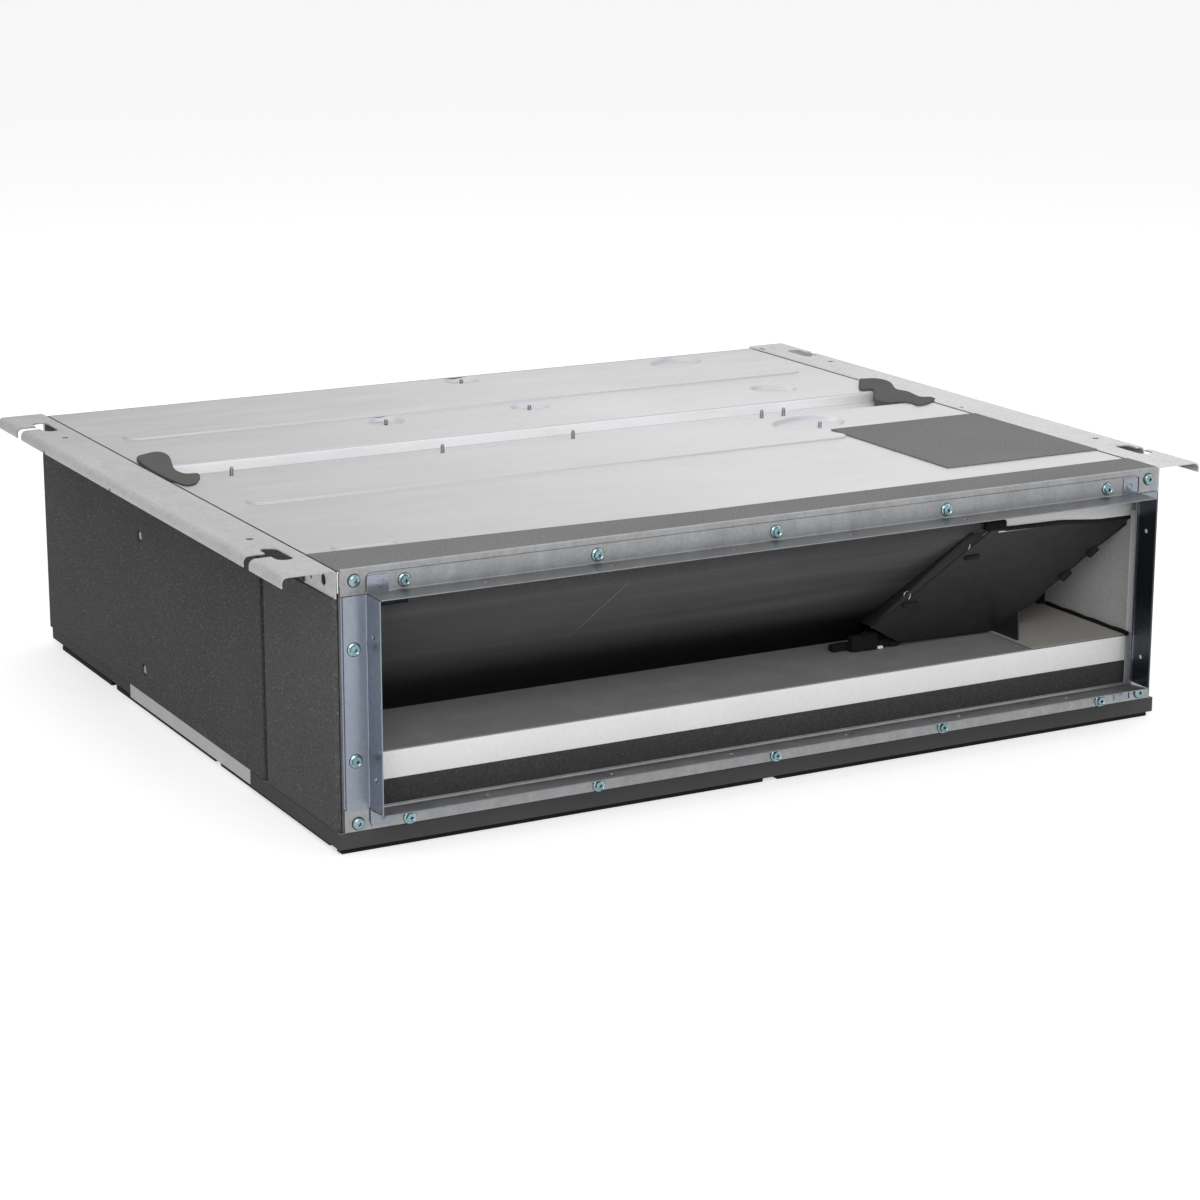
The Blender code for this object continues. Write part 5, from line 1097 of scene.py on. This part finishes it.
def make_end_cover():
    """The slanted cover over the coil's right end, its side, rims, clips, hooks, gusset and sealant."""
    shape = bmesh.new()
    face = shape.faces.new([shape.verts.new(on_cover(x, down)) for x, down in COVER_OUTLINE])
    face.normal_update()
    sheet = thick(shape, COVER_SHEET)
    piece("end_cover_sheet", sheet, "cover", stands_for=["coil_end_cover"], edge=COVER_EDGE)
    shape = bmesh.new()
    corners = [on_cover(*COVER_OUTLINE[0]), on_cover(*COVER_OUTLINE[-1]), STRIP_REAR[1], STRIP_REAR[0]]
    shape.faces.new([shape.verts.new(corner) for corner in corners])
    piece("end_cover_side", thick(shape, COVER_SHEET), "strip", edge=COVER_EDGE)
    for name, (radius, proud, points) in COVER_RIMS.items():
        bead = beaded([on_cover(x, down, proud) for x, down in points], radius)
        piece(f"end_cover_{name}_rim", bead, "rim", smooth=BEAD_SMOOTH)
    piece("end_cover_coil_rim", beaded(STRIP_REAR, STRIP_BEAD), "rim", smooth=BEAD_SMOOTH)
    shape = bmesh.new()
    for (x, down), half, turn in COVER_LUGS:
        verts = block(shape, -Vector(half), half)
        matrix = Matrix.Rotation(math.radians(turn), 3, "Y")
        bmesh.ops.rotate(shape, verts=verts, cent=(0, 0, 0), matrix=matrix)
        bmesh.ops.translate(shape, verts=verts, vec=on_cover(x, down, LUG_PROUD))
    piece("end_cover_clips", shape, "rim", edge=LUG_EDGE)
    shape = bmesh.new()
    for x, down in HOOKS:
        centre = on_cover(x, down, HOOK_PROUD)
        points = []
        for i in range(HOOK_POINTS):
            angle = math.radians(HOOK_START + HOOK_STEP * i)
            step = (HOOK_REACH[0] * math.cos(angle), 0.0, HOOK_REACH[1] * math.sin(angle))
            points.append(centre + Vector(step))
        merge(shape, beaded(points, WIRE_RADIUS, 6))
    piece("end_cover_hooks", shape, "wire", smooth=BEAD_SMOOTH)
    gusset = drawn(GUSSET_PROFILE, "X", *GUSSET_X)
    piece("cover_gusset_plate", gusset, "cover", stands_for=["cover_gusset"], edge=COVER_EDGE)
    x, y, z = WALL_BEAD_START
    points = []
    for i in range(WALL_BEAD_POINTS):
        wave = WALL_BEAD_WAVE * math.sin(WALL_BEAD_PHASE * i)
        points.append(Vector((x, y + WALL_BEAD_STEP * i, z + wave)))
    piece("pan_wall_sealant", beaded(points, WALL_BEAD_RADIUS), "sealant", smooth=BEAD_SMOOTH)
    make_boxes("cover_foot_sealant", "cover_foot_crumb")


def clinch():
    """A round clinch joint pressed up from a sheet."""
    profile = [
        (CLINCH_RADIUS + 0.0006, 0.0),
        (CLINCH_RADIUS, CLINCH_RISE),
        (CLINCH_RADIUS - 0.0008, CLINCH_RISE),
        (CLINCH_RADIUS - 0.0012, CLINCH_RISE * 0.3),
        (0.0, CLINCH_RISE * 0.3),
    ]
    return turned(profile, 20)


def round_corner(shape, near):
    """Round the short edges that run through a sheet at a corner."""
    picked = []
    for edge in shape.edges:
        step = edge.verts[1].co - edge.verts[0].co
        middle = (edge.verts[0].co + edge.verts[1].co) / 2
        if abs(step.normalized().y) > 0.99 and step.length < 3 * SHEET and near(middle):
            picked.append(edge)
    bmesh.ops.bevel(
        shape,
        geom=picked,
        offset=FLANGE_CORNER,
        offset_type="OFFSET",
        segments=5,
        profile=0.5,
        affect="EDGES",
        clamp_overlap=True,
        material=-1,
    )


def make_end_frame(name, plane, sign, half, top):
    """The four members round a duct opening, with hairline seams between them and turned-back edges."""
    back = plane - sign * SHEET
    turned_back = plane - sign * FRAME_RETURN
    across = sorted((plane, back))
    shape = bmesh.new()
    block(shape, (-half, across[0], OPENING_HIGH), (half, across[1], top))
    block(shape, (-half, across[0], FRAME_LOW), (half, across[1], OPENING_LOW))
    over = sorted((back + sign * WELD, turned_back))
    if top > PANEL_TOP:
        block(shape, (-half, over[0], top - SHEET), (half, over[1], top))
    piece(f"{name}_frame_rails", shape, "angle", stands_for=[f"{name}_frame"], edge=0.0004)
    shape = bmesh.new()
    for side in (-1, 1):
        x = sorted((side * OPENING_HALF, side * half))
        inset = sorted((plane - sign * SEAM / 2, back))
        block(shape, (x[0], inset[0], OPENING_LOW + SEAM), (x[1], inset[1], OPENING_HIGH - SEAM))
        if top > PANEL_TOP:
            edge = sorted((side * half, side * (half - SHEET)))
            block(shape, (edge[0], over[0], OPENING_LOW + SEAM), (edge[1], over[1], top - SHEET - SEAM))
    piece(f"{name}_frame_posts", shape, "blue_angle", edge=0.0003)


def flange_profile(face, reach, edge, away, sign, width, sweep=90.0):
    """An angle's section: places out from the casing, and from the opening's edge across its face."""
    points = [(face, edge + away * (width - SHEET / 2))]
    for i in range(FLANGE_STEPS + 1):
        angle = math.radians(sweep * i / FLANGE_STEPS)
        out = face + sign * FLANGE_BEND * (1.0 - math.cos(angle))
        points.append((out, edge + away * FLANGE_BEND * (1.0 - math.sin(angle))))
    return points + [(reach, edge)]


def make_flange_angles(name, plane, sign):
    """Four angles that take the duct, the tabs and clinches that join them, and their screws."""
    face = plane + sign * (FLANGE_GAP + SHEET / 2)
    seat = face + sign * SHEET / 2
    tab_face = face + sign * (SHEET / 2 + TAB_SHEET)
    reach = plane + sign * FLANGE_REACH
    spot = (face + reach) / 2
    outward = (0.0, sign, 0.0)
    hexes = []
    clinches = []
    for label, edge, away in (("top", OPENING_HIGH + SHEET / 2, 1), ("bottom", OPENING_LOW - SHEET / 2, -1)):
        sweep = ROLLED_BEND if name == "outlet" and label == "bottom" else 90.0
        profile = flange_profile(face, reach, edge, away, sign, FLANGE_FACE[label], sweep)
        shape = thick(drawn(profile, "X", -OPENING_HALF, OPENING_HALF, closed=False), SHEET)
        outer = edge + away * (FLANGE_FACE[label] - 2 * SHEET)
        round_corner(shape, lambda point: (point.z - outer) * away > 0)
        holes = bmesh.new()
        for x in LEG_HOLES_X:
            rod(holes, (x, spot, edge - 2 * SHEET), (x, spot, edge + 2 * SHEET), LEG_HOLE)
        shape = carved(shape, holes)
        node = f"{name}_flange_{label}"
        piece(f"{name}_angle_{label}", shape, "angle", stands_for=[node], edge=FLANGE_EDGE)
        for x in FLANGE_SCREWS_X[label]:
            place = (x, seat, edge + away * (SCREW_INSET[label] + SHEET / 2))
            hexes.append((place, outward, HEX_TURN * x))
    for label, away in SIDES:
        edge = away * (OPENING_HALF + FLANGE_GAP + SHEET / 2)
        profile = flange_profile(face, reach, edge, away, sign, FLANGE_FACE["side"])
        profile = [(x, y) for y, x in profile]
        shape = thick(drawn(profile, "Z", OPENING_LOW, OPENING_HIGH, closed=False), SHEET)
        holes = bmesh.new()
        for z in SIDE_LEG_HOLES_Z:
            rod(holes, (edge - 2 * SHEET, spot, z), (edge + 2 * SHEET, spot, z), LEG_HOLE)
        shape = carved(shape, holes)
        node = f"{name}_flange_{label}"
        piece(f"{name}_angle_{label}", shape, "blue_angle", stands_for=[node], edge=FLANGE_EDGE)
        tabs = bmesh.new()
        front = sorted((seat, tab_face))
        inner = sorted((away * (OPENING_HALF - TAB_WIDTH), away * (OPENING_HALF + SHEET)))
        for low, high in (
            (OPENING_HIGH + SHEET, OPENING_HIGH + TAB_HEIGHT),
            (OPENING_LOW - TAB_HEIGHT, OPENING_LOW - SHEET),
        ):
            block(tabs, (inner[0], front[0], low), (inner[1], front[1], high))
            place = (away * (OPENING_HALF - CLINCH_INSET), tab_face, (low + high) / 2)
            clinches.append((place, outward, 0.0))
        for vertical, level in ((1, OPENING_HIGH), (-1, OPENING_LOW)):

            def near(point, vertical=vertical, level=level, away=away):
                high = (point.z - level) * vertical > TAB_HEIGHT - SHEET
                return high and point.x * away > OPENING_HALF - SHEET

            round_corner(tabs, near)
        piece(f"{name}_angle_tabs_{label}", tabs, "blue_angle", edge=FLANGE_EDGE)
        for z in SIDE_SCREWS_Z:
            place = (away * (OPENING_HALF + SCREW_INSET["side"]), seat, z)
            hexes.append((place, outward, SIDE_TURN[0] * away + SIDE_TURN[1] * z))
    piece(f"{name}_flange_screws", copies(hex_head(), hexes), "screw", smooth=30)
    piece(f"{name}_flange_screw_painted_shadows", copies(painted_head_shadow(HEX_FLANGE), hexes), "rim")
    piece(f"{name}_flange_clinches", copies(clinch(), clinches), "blue_angle", smooth=40)
    corners = []
    for _, side in SIDES:
        for z in (TOP - CORNER_SCREW_TOP, CORNER_SCREW_LOW):
            place = (side * (HALF_WIDTH - CORNER_SCREW_SIDE), plane, z)
            corners.append((place, outward, PAN_TURN[0] + PAN_TURN[1] * side))
    piece(f"{name}_corner_screws", copies(pan_head(), corners), "screw", smooth=30)
    piece(f"{name}_corner_screw_painted_shadows", copies(painted_head_shadow(PAN_RADIUS), corners), "rim")


def make_coil():
    """The fin pack: one thin fin after another on a dark core."""
    low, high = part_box("coil_fins")
    down = Vector((0.0, COIL_LOW[0] - COIL_TOP[0], COIL_LOW[1] - COIL_TOP[1]))
    length = down.length
    down.normalize()
    back = Vector((0.0, -down.z, down.y))
    top = Vector((0.0, *COIL_TOP))
    turn = Matrix((Vector((1, 0, 0)), down, back)).transposed().to_4x4()
    place = Matrix.Translation(top) @ turn
    shape = bmesh.new()
    fins = int((high.x - low.x) / FIN_PITCH)
    for i in range(fins + 1):
        x = low.x + (high.x - low.x - FIN_SHEET) * i / fins
        block(shape, (x, FIN_MARGIN, 0.0), (x + FIN_SHEET, length - FIN_MARGIN, COIL_THICKNESS))
    bmesh.ops.transform(shape, verts=shape.verts, matrix=place)
    piece("coil_fin_stack", shape, "fins", stands_for=["coil_fins"])
    shape = bmesh.new()
    block(
        shape,
        (low.x + FIN_SHEET, FIN_MARGIN + FIN_PROUD, FIN_PROUD),
        (high.x - FIN_SHEET, length - FIN_MARGIN - FIN_PROUD, COIL_THICKNESS - FIN_PROUD),
    )
    bmesh.ops.transform(shape, verts=shape.verts, matrix=place)
    piece("coil_core", shape, "fin_gap")


def blade_points(angle):
    """Cross-section of one forward-curved blade, as a thin crescent."""
    root = Vector((math.cos(angle), math.sin(angle))) * BLADE_ROOT
    tip = Vector((math.cos(angle + BLADE_SWEEP), math.sin(angle + BLADE_SWEEP))) * WHEEL_RADIUS
    chord = tip - root
    side = Vector((chord.y, -chord.x)).normalized()
    points = [root + chord * share + side * BLADE_BOW * bow for share, bow in BLADE_CURVE]
    inner = [point - side * BLADE_SHEET for point in reversed(points[1:-1])]
    return [(FAN_Y + point.x, FAN_Z + point.y) for point in points + inner]


def make_wheel(name, sign):
    """A sirocco wheel: blades between two end rings, on a middle disc with a hub."""
    centre = sign * FAN_OFFSET
    low = centre - WHEEL_WIDTH / 2
    high = centre + WHEEL_WIDTH / 2
    shape = bmesh.new()
    for i in range(BLADES):
        merge(shape, drawn(blade_points(math.tau * i / BLADES), "X", low, high))
    for profile, x in ((WHEEL_RING, low), (WHEEL_RING, high - RING_WIDTH), (WHEEL_HUB, centre)):
        made = turned(profile, 48)
        place = Matrix.Translation((x, FAN_Y, FAN_Z)) @ facing((1, 0, 0))
        bmesh.ops.transform(made, verts=made.verts, matrix=place)
        merge(shape, made)
    piece(f"wheel_{name}_blades", shape, "wheel", "fan_rotor", [f"fan_wheel_{name}"], 30)


def make_rails():
    """Hanging rails with notches in the lip and small slots near the body, and dark discs and bars that are
    painted shade in their holes, slots and keyholes.
    """
    shades = bmesh.new()
    for side, sign in SIDES:
        tool = bmesh.new()
        lip = sorted((sign * LIP_X[0], sign * LIP_X[1]))
        for y in RAIL_NOTCHES_Y:
            block(tool, (lip[0], y - NOTCH_HALF, LIP_Z[0]), (lip[1], y + NOTCH_HALF, LIP_Z[1]))
        for low, high in RAIL_SLOTS_Y if side == "right" else ():
            block(tool, (RAIL_SLOT_X[0], low, RAIL_SLOT_Z[0]), (RAIL_SLOT_X[1], high, RAIL_SLOT_Z[1]))
            corner = (SLOT_SHADE_X[1], high + OVERCUT, SLOT_SHADE_Z[1])
            block(shades, (SLOT_SHADE_X[0], low - OVERCUT, SLOT_SHADE_Z[0]), corner)
        for x, y in RAIL_HOLES[side]:
            rod(shades, (x, y, HOLE_SHADE_Z[0]), (x, y, HOLE_SHADE_Z[1]), HOLE_SHADE_RADIUS)
        for start, end, y, z, radius in FLANGE_SHADES:
            rod(shades, (sign * start, y, z), (sign * end, y, z), radius)
        name = f"hanging_rail_{side}"
        dress(name, "rail", 0.0004, shape=carved(whole(name), tool))
    piece("rail_hole_shades", shades, "rim")


def make_base_foam():
    """Black foam under the tray, with the gaps that its sheets leave along the left edge and the front."""
    for name in ("base_foam_front", "base_foam_rear"):
        left, _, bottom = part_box(name)[0]
        low = bottom - OVERCUT
        high = bottom + BASE_NOTCH_HEIGHT
        tool = bmesh.new()
        for start, end in BASE_NOTCHES_Y:
            block(tool, (left - OVERCUT, start, low), (left + BASE_NOTCH_DEPTH, end, high))
        start, end = BASE_NOTCH_X
        block(tool, (start, FRONT - BASE_NOTCH_LEAD, low), (end, FRONT + BASE_NOTCH_DEPTH, high))
        dress(name, "base", 0.0008, shape=carved(whole(name), tool))


def make_small_pieces():
    """Painted shade in the joints and foam beside the rails, an edge, painted shade in a tab's joint and foam
    at the outlet, and the sheet beside the liner.
    """
    make_boxes("rail_joint_painted_shade", "rail_side_foam")
    low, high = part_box("wall_lining_right")
    shape = bmesh.new()
    block(shape, (low.x, low.y - WALL_EDGE, WALL_EDGE_Z[0]), (high.x, low.y, WALL_EDGE_Z[1]))
    piece("wall_lining_front_edge", shape, "white")
    make_boxes("right_tab_painted_shade", "leg_end_foam")
    rub = beaded([Vector(point) for point in COIL_RUB], COIL_RUB_RADIUS, 6)
    piece("coil_face_rub", rub, "rub", smooth=BEAD_SMOOTH)
    make_boxes("pan_side_sheet")


def painted_head_shadow(radius):
    """A dark disc under a screw head, a little wider than it: painted shadow of the gap under the head's
    edge.
    """
    reach = radius + HEAD_SHADOW_REACH
    return turned([(0.0, 0.0), (reach, 0.0), (reach, HEAD_SHADE), (0.0, HEAD_SHADE)], 24)


def make_screw_tips():
    """Screw ends that stand in the dishes and in the trough."""
    places = [((x, y, DISH_FLOOR), (0, 0, 1), 0.0) for x, y in DISH_TIPS]
    piece("dish_screw_tips", copies(threaded_tip(DISH_TIP_RISE), places), "tip", smooth=60)
    places = [((x, SEAM_SCREW_Y, TROUGH_TOP), (0, 0, 1), 0.0) for x in SEAM_SCREWS_X]
    piece("trough_screw_tips", copies(threaded_tip(TROUGH_TIP_RISE), places), "tip", smooth=60)


def dress_nodes():
    """The nodes whose shape stays, with rounded edges and their finish."""
    for finish, edge, names in DRESSED:
        for name in names:
            dress(name, finish, edge, smooth=ROUND_SMOOTH if finish in ("copper", "brass") else SMOOTH)
    dress("fan_shaft", "steel", 0.0004, "fan_rotor")


def watched(tree):
    """One for camera, glossy and transmission rays, and nought for the rest."""
    path = tree.nodes.new("ShaderNodeLightPath")
    total = path.outputs["Is Camera Ray"]
    for name in ("Is Glossy Ray", "Is Transmission Ray"):
        either = shader_node(tree, "Math", {0: total, 1: path.outputs[name]})
        either.operation = "MAXIMUM"
        total = either.outputs["Value"]
    return total


def make_stage():
    """Pale floor, soft studio light and the camera."""
    shape = bmesh.new()
    bmesh.ops.create_grid(shape, x_segments=1, y_segments=1, size=FLOOR_SIZE / 2)
    floor = linked("floor", to_mesh(shape, "floor"))
    material, tree, shader = start_finish("floor_white", grey(FLOOR_TONE), 0.9)
    glow = shader_node(tree, "Emission", {"Strength": watched(tree), "Color": grey(FLOOR_GLOW)})
    both = shader_node(tree, "AddShader", {0: shader.outputs["BSDF"], 1: glow.outputs["Emission"]})
    feed(tree, tree.nodes["Material Output"], {"Surface": both.outputs["Shader"]})
    floor.data.materials.append(material)

    world = bpy.data.worlds.new("studio")
    bpy.context.scene.world = world
    world.use_nodes = True
    tree = world.node_tree
    strength = shader_node(tree, "MapRange", {"To Min": WORLD_LIGHT, "To Max": 1.0, "Value": watched(tree)})
    feed(tree, tree.nodes["Background"], {"Color": WHITE, "Strength": strength.outputs["Result"]})

    for name, place, size, power in LIGHTS:
        lamp = bpy.data.lights.new(name, "AREA")
        lamp.size = size
        lamp.energy = power
        item = linked(name, lamp)
        item.location = place
        item.rotation_euler = (AIM - Vector(place)).to_track_quat("-Z", "Y").to_euler()

    camera = bpy.data.cameras.new("photo_camera")
    camera.lens = CAMERA_LENS
    camera.shift_x, camera.shift_y = CAMERA_SHIFT
    camera.clip_end = CAMERA_REACH
    item = linked("photo_camera", camera)
    item.location = CAMERA_PLACE
    item.rotation_euler = (math.radians(90.0 - CAMERA_ELEVATION), 0.0, math.radians(CAMERA_AZIMUTH))
    bpy.context.scene.camera = item
    bpy.context.scene.view_settings.view_transform = "Standard"


make_stage()
dress_nodes()
make_end_frame("front", FRONT, -1, FRAME_HALF["front"], TOP)
make_end_frame("rear", REAR, 1, FRAME_HALF["rear"], PANEL_TOP)
make_top_panels()
make_seals()
make_end_cover()
make_flange_angles("outlet", FRONT, -1)
make_flange_angles("inlet", REAR, 1)
make_coil()
for wheel_side, wheel_sign in SIDES:
    make_wheel(wheel_side, wheel_sign)
make_screw_tips()
make_rails()
make_base_foam()
make_small_pieces()
